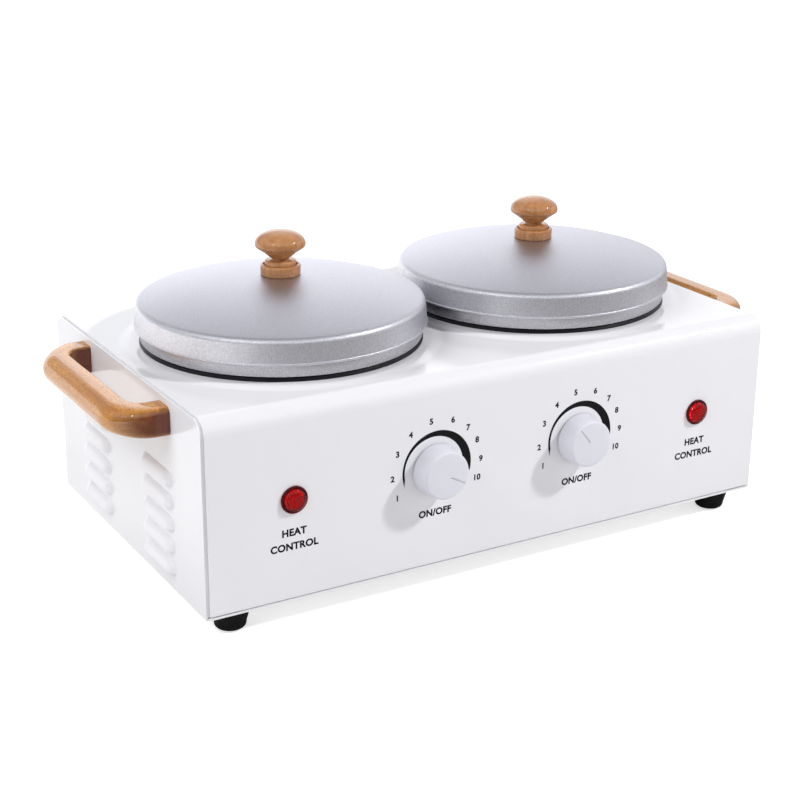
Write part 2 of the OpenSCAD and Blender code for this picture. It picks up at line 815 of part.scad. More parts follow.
// Turned wooden knob: a round foot, a collar, a neck and a lens-shaped head
module turned_knob() {
  edge = 1.2;
  brow = 1.5;
  rise = turned_h - turned_wide_z - brow / 2;
  top_r = turned_head_r - 0.35;
  cap_r = (pow(top_r, 2) + pow(rise, 2)) / (2 * rise);
  seat_sink = dome_r - sqrt(pow(dome_r, 2) - pow(turned_foot_r, 2));
  color(wood) translate([0, 0, lid_top_z]) rotate_extrude() difference() {
    polygon(concat(
      [[0, -seat_sink], [turned_foot_r - 0.5, -seat_sink], [turned_foot_r, -seat_sink + 0.5]],
      arc(turned_foot_r - edge, turned_foot_h - edge, edge, 0, 90, 4),
      [[turned_collar_r + 0.4, turned_foot_h - 0.7], [turned_collar_r, turned_foot_h - 0.5]],
      arc(turned_collar_r - 1.5, turned_collar_z - 1.6, 1.5, 0, 90, 5),
      [[turned_neck_r, turned_collar_z + 0.1], [turned_neck_r, turned_collar_z + 0.6]],
      arc(turned_head_r - brow, turned_wide_z, brow, -48, 20, 5),
      [for (i = [1 : 11]) let (t = asin(top_r / cap_r) * (1 - i / 11))
        [cap_r * sin(t), turned_h - cap_r * (1 - cos(t))]]
    ));
    intersection() {
      translate([0, -dome_r]) circle(dome_r + 0.02, $fn = 360);
      translate([0, -5]) square([40, 6]);
    }
    translate([-1, -1]) square([1 + lid_screw_r + screw_slack, 17]);
  }
}

module left_lid_knob() { at_pot(-1) turned_knob(); }
module right_lid_knob() { at_pot(1) turned_knob(); }

module lid_screw() {
  washer_t = 1;
  color(steel) translate([0, 0, lid_under_z - 0.1]) union() {
    translate([0, 0, -washer_t]) cylinder(r = 6, h = washer_t);
    translate([0, 0, -washer_t]) pan_screw(lid_screw_r, 3.8, 2.2, 16);
  }
}

module left_lid_screw() { at_pot(-1) lid_screw(); }
module right_lid_screw() { at_pot(1) lid_screw(); }

// Controls

bushing_r = 5;
nut_h = 2.4;
body_w = 34;
body_h = 30;
body_d = 24;
tab_l = 6;
shaft_tail = 8;
hub_z = 4.2;
crown_z = knob_gap + knob_deep - 2;

// Body behind the panel, with the threaded bushing that the shaft turns in
module thermostat() {
  color("gainsboro") difference() {
    union() {
      translate([-body_w / 2, -body_h / 2, -sheet - 1 - body_d]) cube([body_w, body_h, body_d]);
      translate([0, 0, -sheet - 1 - eps]) cylinder(r = 8, h = 1 + eps);
      translate([0, 0, -sheet - 2]) cylinder(r = bushing_r, h = sheet + 2 + nut_h + 0.6);
      for (x = [-10, 10])
        translate([x - 3.2, -0.4, -sheet - 1 - body_d - tab_l]) cube([6.4, 0.8, tab_l + eps]);
    }
    translate([0, 0, -sheet - 1 - shaft_tail]) cylinder(r = shaft_r + shaft_gap, h = 40);
  }
}

module left_thermostat() { on_front(-knob_pitch / 2) thermostat(); }
module right_thermostat() { on_front(knob_pitch / 2) thermostat(); }

module thermostat_nuts() {
  color(steel) for (side = [-1, 1])
    on_front(side * knob_pitch / 2) nut(7.5, bushing_r + screw_slack, nut_h);
}

module shaft_section(slack) {
  flat = shaft_r * 0.55;
  difference() {
    circle(shaft_r + slack);
    translate([-20, flat + slack]) square([40, 20]);
  }
}

module thermostat_shaft(setting) {
  round_to = hub_z - 0.3;
  color(steel) rotate([0, 0, -setting]) union() {
    translate([0, 0, -sheet - 1 - shaft_tail + 0.3]) cylinder(r = shaft_r, h = sheet + 1 + shaft_tail - 0.3 + round_to);
    translate([0, 0, round_to - eps]) linear_extrude(crown_z - round_to - 0.2) shaft_section(0);
  }
}

module left_thermostat_shaft() { on_front(-knob_pitch / 2) thermostat_shaft(left_setting); }
module right_thermostat_shaft() { on_front(knob_pitch / 2) thermostat_shaft(right_setting); }

// Plain round knob, hollow at the back, with a cut pointer line on its face
module control_knob(setting) {
  face_z = knob_gap + knob_deep;
  edge = 1.2;
  wall = 1.8;
  groove_w = 1;
  color("ghostwhite") rotate([0, 0, -setting]) difference() {
    rotate_extrude() difference() {
      union() {
        polygon([
          [0, knob_gap], [knob_back_r, knob_gap], [knob_face_r, face_z - edge], [0, face_z - edge]
        ]);
        translate([0, face_z - edge - eps]) square([knob_face_r - edge, edge + eps]);
        translate([knob_face_r - edge, face_z - edge]) circle(edge);
      }
      translate([-50, 0]) square([50, 50]);
      polygon([
        [7, knob_gap - 1], [knob_back_r - wall, knob_gap - 1],
        [knob_face_r - wall, crown_z], [7, crown_z]
      ]);
      translate([-1, knob_gap - 1]) square([9, hub_z - knob_gap + 1]);
    }
    translate([0, 0, -1]) linear_extrude(crown_z + 1) shaft_section(0.03);
    translate([-groove_w / 2, 2, face_z - 0.5]) cube([groove_w, knob_face_r - 3.2, 2]);
  }
}

module left_control_knob() { on_front(-knob_pitch / 2) control_knob(left_setting); }
module right_control_knob() { on_front(knob_pitch / 2) control_knob(right_setting); }

stem_r = 5.9;
stem_len = 6;
clip_t = 0.8;

module lamp_lens() {
  rim_t = 1.2;
  dome = (pow(lens_r - 0.8, 2) + pow(lens_out - rim_t, 2)) / (2 * (lens_out - rim_t));
  color("red") rotate_extrude() difference() {
    union() {
      square([lens_r, rim_t]);
      intersection() {
        translate([0, lens_out - dome]) circle(dome);
        translate([0, rim_t - eps]) square([lens_r, lens_out]);
      }
      translate([0, -stem_len]) square([stem_r, stem_len + eps]);
    }
    translate([-50, -50]) square([50, 100]);
    translate([-1, -stem_len - 1]) square([stem_r - 0.4, stem_len + 1]);
  }
}

module left_lamp_lens() { on_front(-lamp_pitch / 2) lamp_lens(); }
module right_lamp_lens() { on_front(lamp_pitch / 2) lamp_lens(); }

// Holder of the glow lamp: its socket takes the lens's stem from behind
module lamp_body() {
  front = -sheet - clip_t - 0.1;
  color("whitesmoke") union() {
    difference() {
      translate([0, 0, -26]) cylinder(r = 7.4, h = 26 + front);
      translate([0, 0, -stem_len - 0.2]) cylinder(r = stem_r + screw_slack, h = 20);
    }
    translate([0, 0, -stem_len - 0.3]) cylinder(r = 2.6, h = stem_len - 1, $fn = 48);
    for (x = [-3.5, 3.5]) translate([x - 0.4, -2.4, -34]) cube([0.8, 4.8, 8 + eps]);
  }
}

module left_lamp_body() { on_front(-lamp_pitch / 2) lamp_body(); }
module right_lamp_body() { on_front(lamp_pitch / 2) lamp_body(); }

module lamp_clips() {
  color(steel) for (side = [-1, 1]) on_front(side * lamp_pitch / 2)
    translate([0, 0, -sheet - clip_t - 0.05]) difference() {
      cylinder(r = 9.5, h = clip_t);
      translate([0, 0, -1]) cylinder(r = stem_r + screw_slack, h = 3);
    }
}

// Cord entry and terminals

barrel_r = 6.5;
barrel_len = 12;

module cord_bushing() {
  color(black) on_back(0, base_z + entry_z) difference() {
    union() {
      cylinder(r1 = 10, r2 = 9, h = entry_flange);
      translate([0, 0, -barrel_len]) cylinder(r = barrel_r, h = barrel_len + eps);
    }
    translate([0, 0, -barrel_len - 1]) cylinder(r = cord_r, h = barrel_len + entry_flange + 2);
  }
}

module cord_bushing_nut() {
  color(black) on_back(0, base_z + entry_z)
    translate([0, 0, -sheet - 4]) nut(10.5, barrel_r + screw_slack, 4);
}

block_w = 42;
block_d = 18;
block_y = case_y + case_d / 2 - 42;
block_hole_x = 17;

module terminal_block() {
  z0 = base_z + plate_t;
  ways = 3;
  color("ivory") union() {
    difference() {
      union() {
        translate([-block_w / 2, block_y - block_d / 2, z0]) cube([block_w, block_d, 8]);
        for (i = [0 : ways - 1])
          translate([(i - 1) * 8 - 3.4, block_y - block_d / 2, z0 + 8 - eps]) cube([6.8, block_d, 7]);
      }
      for (i = [0 : ways - 1]) {
        translate([(i - 1) * 8, block_y, z0 + 8]) rotate([90, 0, 0])
          cylinder(r = 2, h = block_d + 2, center = true, $fn = 48);
        for (y = [-5, 5])
          translate([(i - 1) * 8, block_y + y, z0 + 9]) cylinder(r = 1.8, h = 10, $fn = 48);
      }
      for (x = [-1, 1])
        translate([x * block_hole_x, block_y, z0 - 1]) cylinder(r = m3_r + 0.2, h = 20, $fn = 48);
    }
  }
}

case_shell();
back_panel();
left_side_panel();
right_side_panel();
bottom_plate();
left_handle();
right_handle();
handle_screws();
front_left_foot();
front_right_foot();
back_left_foot();
back_right_foot();
foot_screws();
bottom_screws();
back_screws();
left_heating_well();
right_heating_well();
left_band_heater();
right_band_heater();
left_tie_bracket();
right_tie_bracket();
tie_nuts();
left_thermal_fuse();
right_thermal_fuse();
left_seat_ring();
right_seat_ring();
left_pot();
right_pot();
left_lid();
right_lid();
left_lid_knob();
right_lid_knob();
left_lid_screw();
right_lid_screw();
left_thermostat();
right_thermostat();
thermostat_nuts();
left_thermostat_shaft();
right_thermostat_shaft();
left_control_knob();
right_control_knob();
left_lamp_lens();
right_lamp_lens();
left_lamp_body();
right_lamp_body();
lamp_clips();
cord_bushing();
cord_bushing_nut();
terminal_block();
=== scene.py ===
import json
import math

import bmesh
import bpy
from mathutils import Matrix, Vector

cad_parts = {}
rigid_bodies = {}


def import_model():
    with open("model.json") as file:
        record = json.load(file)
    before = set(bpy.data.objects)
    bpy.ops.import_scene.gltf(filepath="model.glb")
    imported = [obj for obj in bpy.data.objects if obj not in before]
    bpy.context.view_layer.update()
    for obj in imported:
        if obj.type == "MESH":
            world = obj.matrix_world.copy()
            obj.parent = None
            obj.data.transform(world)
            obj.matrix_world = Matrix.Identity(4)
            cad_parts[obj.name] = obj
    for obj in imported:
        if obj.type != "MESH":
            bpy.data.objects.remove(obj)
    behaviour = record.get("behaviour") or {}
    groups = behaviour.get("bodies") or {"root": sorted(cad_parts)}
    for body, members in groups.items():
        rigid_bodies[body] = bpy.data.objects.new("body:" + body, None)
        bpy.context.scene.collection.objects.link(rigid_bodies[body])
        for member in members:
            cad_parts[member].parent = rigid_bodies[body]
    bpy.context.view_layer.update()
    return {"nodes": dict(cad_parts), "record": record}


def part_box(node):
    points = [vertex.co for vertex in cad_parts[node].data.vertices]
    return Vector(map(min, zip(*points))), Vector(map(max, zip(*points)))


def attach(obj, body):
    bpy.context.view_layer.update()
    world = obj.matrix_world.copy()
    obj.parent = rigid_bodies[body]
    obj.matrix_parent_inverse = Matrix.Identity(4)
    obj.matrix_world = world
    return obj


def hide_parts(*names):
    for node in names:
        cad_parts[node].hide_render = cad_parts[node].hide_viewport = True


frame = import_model()
cadNodes = frame["nodes"]
sceneObjects = bpy.context.scene.collection.objects
mm = 0.001
print("frame loaded with", len(cadNodes), "CAD nodes")


# Small mesh tools

def arc(x, y, r, a, b, steps):
    # points on a circle about (x, y), angles in degrees
    out = []
    for i in range(steps + 1):
        t = math.radians(a + (b - a) * i / steps)
        out.append((x + r * math.cos(t), y + r * math.sin(t)))
    return out


def lerp(a, b, t):
    return a + (b - a) * t


def smoothstep(t):
    t = min(1.0, max(0.0, t))
    return t * t * (3 - 2 * t)


def finishMesh(name, bm, material, body, crease=32):
    # turns the mesh into a piece of the object; crease is the angle from which edges stay sharp
    bmesh.ops.recalc_face_normals(bm, faces=bm.faces)
    mesh = bpy.data.meshes.new(name)
    bm.to_mesh(mesh)
    bm.free()
    mesh.shade_smooth()
    mesh.set_sharp_from_angle(angle=math.radians(crease))
    piece = bpy.data.objects.new(name, mesh)
    sceneObjects.link(piece)
    mesh.materials.append(material)
    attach(piece, body)
    return piece


def latheInto(bm, profile, place, steps, closed=True):
    # spins (radius, height) points about the local z axis; place is a Matrix
    rings = []
    for r, z in profile:
        if r < 1e-7:
            rings.append([bm.verts.new(place @ Vector((0, 0, z)))])
            continue
        ring = []
        for i in range(steps):
            t = 2 * math.pi * i / steps
            ring.append(bm.verts.new(place @ Vector((r * math.cos(t), r * math.sin(t), z))))
        rings.append(ring)
    pairs = list(zip(rings, rings[1:]))
    if closed and len(rings[0]) > 1:
        pairs.append((rings[-1], rings[0]))
    for a, b in pairs:
        for i in range(steps):
            j = (i + 1) % steps
            corners = [a[i % len(a)], a[j % len(a)], b[j % len(b)], b[i % len(b)]]
            face = []
            for corner in corners:
                if corner not in face:
                    face.append(corner)
            if len(face) > 2:
                bm.faces.new(face)


def lathe(name, profile, place, material, body, steps=128, closed=True, crease=32):
    bm = bmesh.new()
    latheInto(bm, profile, place, steps, closed)
    return finishMesh(name, bm, material, body, crease)


def roundedBoxInto(bm, size, place, radius=0.0, steps=3):
    start = len(bm.verts)
    made = bmesh.ops.create_cube(bm, size=1.0)
    bmesh.ops.scale(bm, vec=size, verts=made["verts"])
    if radius > 0:
        edges = {e for v in made["verts"] for e in v.link_edges}
        bmesh.ops.bevel(bm, geom=list(edges), offset=radius, segments=steps, profile=0.5, affect="EDGES")
    bm.verts.ensure_lookup_table()
    for v in bm.verts[start:]:
        v.co = place @ v.co


def bakedMesh(obj):
    # the mesh that an object's modifiers or letters come to
    bpy.context.view_layer.update()
    return bpy.data.meshes.new_from_object(obj.evaluated_get(bpy.context.evaluated_depsgraph_get()))


def cutWith(piece, cutterMesh):
    # takes the cutter's shape out of the piece and bakes the result
    cutter = bpy.data.objects.new("cutter", cutterMesh)
    sceneObjects.link(cutter)
    cut = piece.modifiers.new("cut", "BOOLEAN")
    cut.operation = "DIFFERENCE"
    cut.solver = "EXACT"
    cut.object = cutter
    result = bakedMesh(piece)
    piece.modifiers.clear()
    piece.data = result
    bpy.data.objects.remove(cutter)
    result.shade_smooth()
    result.set_sharp_from_angle(angle=math.radians(32))


def boxCentre(node):
    low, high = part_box(node)
    return (low + high) / 2


def frontPlace(node):
    # from a node's middle on the front panel: local z points out of the panel, local y is up
    centre = boxCentre(node)
    return Matrix.Translation((centre.x, frontY, centre.z)) @ Matrix.Rotation(math.radians(90), 4, "X")


def uprightPlace(node):
    # the upright axis through a node's middle
    centre = boxCentre(node)
    return Matrix.Translation((centre.x, centre.y, 0))


# Shader tools

class Nodes:
    # a thin wrapper so that trees read from input to output
    def __init__(self, tree):
        self.tree = tree

    def add(self, kind, **settings):
        node = self.tree.nodes.new(kind)
        for key, value in settings.items():
            setattr(node, key, value)
        return node

    def link(self, a, b):
        self.tree.links.new(a, b)

    def put(self, socket, value):
        if isinstance(value, bpy.types.NodeSocket):
            self.link(value, socket)
        else:
            socket.default_value = value

    def math(self, operation, a, b=0.0, clamp=False):
        node = self.add("ShaderNodeMath", operation=operation, use_clamp=clamp)
        self.put(node.inputs[0], a)
        self.put(node.inputs[1], b)
        return node.outputs[0]

    def remap(self, value, low, high, toLow=0.0, toHigh=1.0):
        node = self.add("ShaderNodeMapRange")
        self.put(node.inputs["Value"], value)
        self.put(node.inputs["From Min"], low)
        self.put(node.inputs["From Max"], high)
        self.put(node.inputs["To Min"], toLow)
        self.put(node.inputs["To Max"], toHigh)
        return node.outputs[0]

    def noise(self, vector, scale, detail=2.0, roughness=0.5, distortion=0.0):
        node = self.add("ShaderNodeTexNoise")
        self.link(vector, node.inputs["Vector"])
        self.put(node.inputs["Scale"], scale)
        self.put(node.inputs["Detail"], detail)
        self.put(node.inputs["Roughness"], roughness)
        self.put(node.inputs["Distortion"], distortion)
        return node.outputs["Fac"]

    def mix(self, factor, a, b, blend="MIX"):
        node = self.add("ShaderNodeMix", data_type="RGBA", blend_type=blend)
        self.put(node.inputs["Factor"], factor)
        self.put(node.inputs["A"], a)
        self.put(node.inputs["B"], b)
        return node.outputs["Result"]

    def dot(self, vector, way):
        node = self.add("ShaderNodeVectorMath", operation="DOT_PRODUCT")
        self.link(vector, node.inputs[0])
        self.put(node.inputs[1], way)
        return node.outputs["Value"]

    def stretch(self, vector, scale):
        node = self.add("ShaderNodeVectorMath", operation="MULTIPLY")
        self.link(vector, node.inputs[0])
        self.put(node.inputs[1], scale)
        return node.outputs[0]


def newGroup(name, inputs, outputs):
    tree = bpy.data.node_groups.new(name, "ShaderNodeTree")
    for label, kind, value in inputs:
        socket = tree.interface.new_socket(label, in_out="INPUT", socket_type=kind)
        socket.default_value = value
    for label, kind in outputs:
        tree.interface.new_socket(label, in_out="OUTPUT", socket_type=kind)
    n = Nodes(tree)
    return n, n.add("NodeGroupInput").outputs, n.add("NodeGroupOutput").inputs


number = "NodeSocketFloat"
vector = "NodeSocketVector"


def objectPoint(n):
    return n.add("ShaderNodeTexCoord").outputs["Object"]


# Small pits and grains of a blasted or moulded surface
def makeGrainGroup():
    n, given, out = newGroup(
        "surfaceGrain",
        [("Scale", number, 1400.0), ("Contrast", number, 0.5)],
        [("Shade", number), ("Height", number)],
    )
    point = objectPoint(n)
    fine = n.noise(point, given["Scale"], 2.0, 0.6)
    coarse = n.noise(point, n.math("MULTIPLY", given["Scale"], 0.31), 2.0, 0.5)
    both = n.math("ADD", n.math("MULTIPLY", fine, 0.82), n.math("MULTIPLY", coarse, 0.18))
    spread = n.math("MULTIPLY", n.math("SUBTRACT", both, 0.5), given["Contrast"])
    n.put(out["Shade"], n.math("ADD", spread, 0.5, clamp=True))
    n.put(out["Height"], both)
    return n.tree


# Soft waves that sprayed paint and glossy mouldings have, and faint smudges
def makePaintSkinGroup():
    n, given, out = newGroup(
        "paintSkin",
        [("Wave Scale", number, 420.0), ("Smudge Scale", number, 9.0)],
        [("Height", number), ("Smudge", number)],
    )
    point = objectPoint(n)
    n.put(out["Height"], n.noise(point, given["Wave Scale"], 1.0, 0.4))
    cloud = n.noise(point, given["Smudge Scale"], 4.0, 0.6, 0.4)
    n.put(out["Smudge"], n.remap(cloud, 0.35, 0.7))
    return n.tree


# Long grain, dark pores and slow changes of tone; Along picks the grain's direction
def makeWoodGrainGroup():
    n, given, out = newGroup(
        "woodGrain",
        [("Along", vector, (1, 0.06, 1)), ("Scale", number, 260.0), ("Pores", number, 0.5)],
        [("Tone", number), ("Streak", number), ("Pore", number), ("Height", number)],
    )
    point = objectPoint(n)
    along = n.stretch(point, given["Along"])
    slow = n.noise(along, n.math("MULTIPLY", given["Scale"], 0.16), 2.0, 0.5, 0.6)
    streak = n.noise(along, given["Scale"], 3.0, 0.62, 0.25)
    short = n.add("ShaderNodeVectorMath", operation="ADD")
    n.link(along, short.inputs[0])
    n.link(n.stretch(point, (0.12, 0.12, 0.12)), short.inputs[1])
    flecks = n.noise(short.outputs[0], n.math("MULTIPLY", given["Scale"], 8.0), 2.0, 0.6)
    pore = n.math("MULTIPLY", n.remap(flecks, 0.48, 0.62), given["Pores"])
    n.put(out["Tone"], n.remap(slow, 0.3, 0.7))
    n.put(out["Streak"], n.remap(streak, 0.32, 0.68))
    n.put(out["Pore"], pore)
    n.put(out["Height"], n.math("SUBTRACT", n.math("MULTIPLY", streak, 0.35), pore))
    return n.tree


grainGroup = makeGrainGroup()
paintSkinGroup = makePaintSkinGroup()
woodGrainGroup = makeWoodGrainGroup()


def useGroup(n, tree, **values):
    node = n.add("ShaderNodeGroup")
    node.node_tree = tree
    for key, value in values.items():
        n.put(node.inputs[key.replace("_", " ")], value)
    return node.outputs


def newMaterial(name, plain):
    # plain holds what is the same all over and sits on the shader's own sockets
    material = bpy.data.materials.new(name)
    material.use_nodes = True
    n = Nodes(material.node_tree)
    shader = material.node_tree.nodes["Principled BSDF"]
    for key, value in plain.items():
        shader.inputs[key].default_value = value
    return material, n, shader


def bump(n, shader, height, distance, strength=1.0):
    node = n.add("ShaderNodeBump")
    node.inputs["Strength"].default_value = strength
    node.inputs["Distance"].default_value = distance
    n.link(height, node.inputs["Height"])
    n.link(node.outputs[0], shader.inputs["Normal"])


enamel = {
    "base": (0.86, 0.86, 0.895, 1),
    "smudged": (0.85, 0.85, 0.884, 1),
    "smudgeShare": 0.35,
    "smudgeScale": 7.0,
    "waveScale": 520.0,
    "waveHeight": 0.005 * mm,
    "roughness": (0.125, 0.165),
    "specular": 0.42,
}


def makeEnamel():
    material, n, shader = newMaterial("whiteEnamel", {"Specular IOR Level": enamel["specular"]})
    skin = useGroup(n, paintSkinGroup, Wave_Scale=enamel["waveScale"], Smudge_Scale=enamel["smudgeScale"])
    smudge = n.math("MULTIPLY", skin["Smudge"], enamel["smudgeShare"])
    n.link(n.mix(smudge, enamel["base"], enamel["smudged"]), shader.inputs["Base Color"])
    n.link(n.remap(skin["Smudge"], 0, 1, *enamel["roughness"]), shader.inputs["Roughness"])
    bump(n, shader, skin["Height"], enamel["waveHeight"])
    return material


aluminium = {
    "blastedAluminium": {
        "light": (0.82, 0.815, 0.88, 1), "dark": (0.37, 0.37, 0.405, 1), "roughness": (0.36, 0.50),
        "pitDepth": 0.09 * mm},
    "rimAluminium": {
        "light": (0.50, 0.49, 0.52, 1), "dark": (0.28, 0.275, 0.30, 1), "roughness": (0.20, 0.32),
        "pitDepth": 0.03 * mm},
}
blasted = {
    "grainScale": 2300.0,
    "upright": 0.5,  # a face counts as upright while its normal rises less than this
    "level": 0.95,  # and as level once it rises more than this
    # painted sheen: the grain's contrast on upright faces and how much whiter those faces are painted, for
    # the light they catch
    "uprightContrast": 3.2,
    "levelContrast": 0.9,
    "uprightPaintedSheen": 0.22,
}


def makeBlasted(name, light, dark, roughness, pitDepth):
    # painted sheen: upright faces are painted whiter and with stronger grain than level ones, standing in for
    # the light that their grain catches
    material, n, shader = newMaterial(name, {"Metallic": 1.0})
    parts = n.add("ShaderNodeSeparateXYZ")
    n.link(n.add("ShaderNodeTexCoord").outputs["Normal"], parts.inputs[0])
    tilt = n.math("ABSOLUTE", parts.outputs[2])
    upright, level = blasted["upright"], blasted["level"]
    contrast = n.remap(tilt, upright, level, blasted["uprightContrast"], blasted["levelContrast"])
    grain = useGroup(n, grainGroup, Scale=blasted["grainScale"], Contrast=contrast)
    # painted sheen, fading out towards level faces
    paintedSheen = n.remap(tilt, upright, level, blasted["uprightPaintedSheen"], 0.0)
    n.link(n.mix(paintedSheen, n.mix(grain["Shade"], dark, light), (1, 1, 1, 1)), shader.inputs["Base Color"])
    low, high = roughness
    n.link(n.remap(grain["Shade"], 0, 1, high, low), shader.inputs["Roughness"])
    bump(n, shader, grain["Height"], pitDepth)
    return material


# along squeezes the pattern across the grain; axis is the grain's direction, and faces across it show end
# grain and painted shade
woods = {
    "handleWood": {
        "along": (1.0, 0.05, 1.0), "axis": (0, 1, 0), "scale": 300.0, "pores": 0.9,
        "pale": (0.84, 0.42, 0.105, 1), "deep": (0.46, 0.165, 0.030, 1)},
    "turnedWood": {
        "along": (1.0, 1.0, 0.12), "axis": (0, 0, 0), "scale": 340.0, "pores": 0.6,
        "pale": (0.62, 0.30, 0.13, 1), "deep": (0.36, 0.148, 0.052, 1)},
}
wood = {
    "pore": (0.36, 0.145, 0.030, 1),
    # darker tone for faces across the grain: end grain and painted shade
    "endGrainShade": (0.26, 0.12, 0.11, 1),
    "toneShare": 0.45,
    "streakShare": 0.55,
    "cutFrom": 0.35,
    "coatRoughness": 0.06,
    "coatIor": 1.57,
    "roughness": (0.30, 0.46),
    "reliefHeight": 0.05 * mm,
    "reliefStrength": 0.6,
}


def makeWood(name, along, axis, scale, pores, pale, deep):
    # faces across the grain turn darker: partly wood cut across its grain drinking more varnish, partly
    # painted shade on the handle legs' faces that look front and back
    material, n, shader = newMaterial(name, {
        "Coat Weight": 1.0,
        "Coat Roughness": wood["coatRoughness"],
        "Coat IOR": wood["coatIor"],
        "Specular IOR Level": 0.0,
    })
    grain = useGroup(n, woodGrainGroup, Along=along, Scale=scale, Pores=pores)
    tone = n.math("ADD", n.math("MULTIPLY", grain["Tone"], wood["toneShare"]),
                  n.math("MULTIPLY", grain["Streak"], wood["streakShare"]))
    body = n.mix(grain["Pore"], n.mix(tone, deep, pale), wood["pore"])
    # painted shade and end grain: faces across the axis are darkened by their direction
    across = n.dot(n.add("ShaderNodeTexCoord").outputs["Normal"], axis)
    cut = n.remap(n.math("ABSOLUTE", across), wood["cutFrom"], 1.0)
    endShaded = n.mix(cut, body, n.mix(1.0, body, wood["endGrainShade"], "MULTIPLY"))
    n.link(endShaded, shader.inputs["Base Color"])
    low, high = wood["roughness"]
    n.link(n.remap(grain["Streak"], 0, 1, high, low), shader.inputs["Roughness"])
    bump(n, shader, grain["Height"], wood["reliefHeight"], wood["reliefStrength"])
    return material


moulded = {
    "blackRubber": {
        "base": (0.010, 0.010, 0.011, 1), "other": (0.006, 0.006, 0.007, 1), "roughness": (0.52, 0.66),
        "relief": 0.02 * mm, "grainScale": 900.0, "plain": {"Specular IOR Level": 0.1}},
    "blackPlastic": {
        "base": (0.010, 0.010, 0.013, 1), "other": (0.006, 0.006, 0.008, 1), "roughness": (0.34, 0.46),
        "relief": 0.012 * mm, "grainScale": 900.0, "plain": {"Specular IOR Level": 0.2}},
    "whitePlastic": {
        "base": (0.78, 0.78, 0.86, 1), "other": (0.745, 0.745, 0.825, 1), "roughness": (0.33, 0.42),
        "relief": 0.006 * mm, "grainScale": 1200.0,
        "plain": {"Subsurface Weight": 0.08, "Subsurface Radius": (0.002, 0.002, 0.002)}},
    "palePlastic": {
        "base": (0.72, 0.69, 0.60, 1), "other": (0.64, 0.61, 0.52, 1), "roughness": (0.40, 0.52),
        "relief": 0.012 * mm, "grainScale": 900.0, "plain": {}},
    "printInk": {
        "base": (0.004, 0.004, 0.005, 1), "other": (0.008, 0.008, 0.009, 1), "roughness": (0.42, 0.52),
        "relief": 0.004 * mm, "grainScale": 900.0, "plain": {"Specular IOR Level": 0.15}},
}
mouldedContrast = 1.6


def makeGrained(name, base, other, roughness, relief, grainScale, plain, contrast=mouldedContrast):
    # a fine texture with a faint change of tone, for rubber, plastic, ink and plated steel
    material, n, shader = newMaterial(name, plain)
    grain = useGroup(n, grainGroup, Scale=grainScale, Contrast=contrast)
    n.link(n.mix(grain["Shade"], other, base), shader.inputs["Base Color"])
    low, high = roughness
    n.link(n.remap(grain["Shade"], 0, 1, high, low), shader.inputs["Roughness"])
    bump(n, shader, grain["Height"], relief)
    return material


plated = {
    "base": (0.50, 0.50, 0.50, 1),
    "other": (0.34, 0.34, 0.335, 1),
    "roughness": (0.28, 0.42),
    "relief": 0.012 * mm,
    "grainScale": 700.0,
    "plain": {"Metallic": 1.0},
    "contrast": 1.4,
}

redGlass = {
    "clear": (0.86, 0.004, 0.012, 1),
    "clouded": (0.70, 0.003, 0.009, 1),
    "roughness": (0.02, 0.06),
    "waveScale": 900.0,
    "smudgeScale": 160.0,
    "plain": {"Transmission Weight": 0.94, "IOR": 1.36, "Specular IOR Level": 0.5},
}


def makeLens():
    material, n, shader = newMaterial("redLens", redGlass["plain"])
    skin = useGroup(n, paintSkinGroup, Wave_Scale=redGlass["waveScale"], Smudge_Scale=redGlass["smudgeScale"])
    n.link(n.mix(skin["Smudge"], redGlass["clear"], redGlass["clouded"]), shader.inputs["Base Color"])
    n.link(n.remap(skin["Smudge"], 0, 1, *redGlass["roughness"]), shader.inputs["Roughness"])
    return material


# painted light on the prisms: the colours of lit and of shaded facets, and the way the light is painted from
prismPaintedLight = {
    "low": (0.22, 0.002, 0.004, 1),
    "high": (0.98, 0.02, 0.03, 1),
    "lightWay": (0.45, 0.0, 0.9),
    "turnFrom": -0.25,
    "turnTo": 0.35,
    "roughness": (0.20, 0.30),
    "relief": 0.004 * mm,
    "grainScale": 1500.0,
    "contrast": 1.2,
    "specular": 0.6,
}


def makePrism():
    # painted light: prism facets that face up are painted bright red and the others deep red, as if lit from
    # above through the lens
    material, n, shader = newMaterial("redPrism", {"Specular IOR Level": prismPaintedLight["specular"]})
    grain = useGroup(n, grainGroup, Scale=prismPaintedLight["grainScale"], Contrast=prismPaintedLight["contrast"])
    lit = n.dot(n.add("ShaderNodeTexCoord").outputs["Normal"], prismPaintedLight["lightWay"])
    facet = n.remap(lit, prismPaintedLight["turnFrom"], prismPaintedLight["turnTo"])
    n.link(n.mix(facet, prismPaintedLight["low"], prismPaintedLight["high"]), shader.inputs["Base Color"])
    low, high = prismPaintedLight["roughness"]
    n.link(n.remap(grain["Shade"], 0, 1, high, low), shader.inputs["Roughness"])
    bump(n, shader, grain["Height"], prismPaintedLight["relief"])
    return material


whiteEnamel = makeEnamel()
blastedAluminium, rimAluminium = (makeBlasted(name, **values) for name, values in aluminium.items())
handleWood, turnedWood = (makeWood(name, **values) for name, values in woods.items())
blackRubber, blackPlastic, whitePlastic, palePlastic, printInk = (
    makeGrained(name, **values) for name, values in moulded.items())
platedSteel = makeGrained("platedSteel", **plated)
redLens = makeLens()
redPrism = makePrism()
print("materials made")

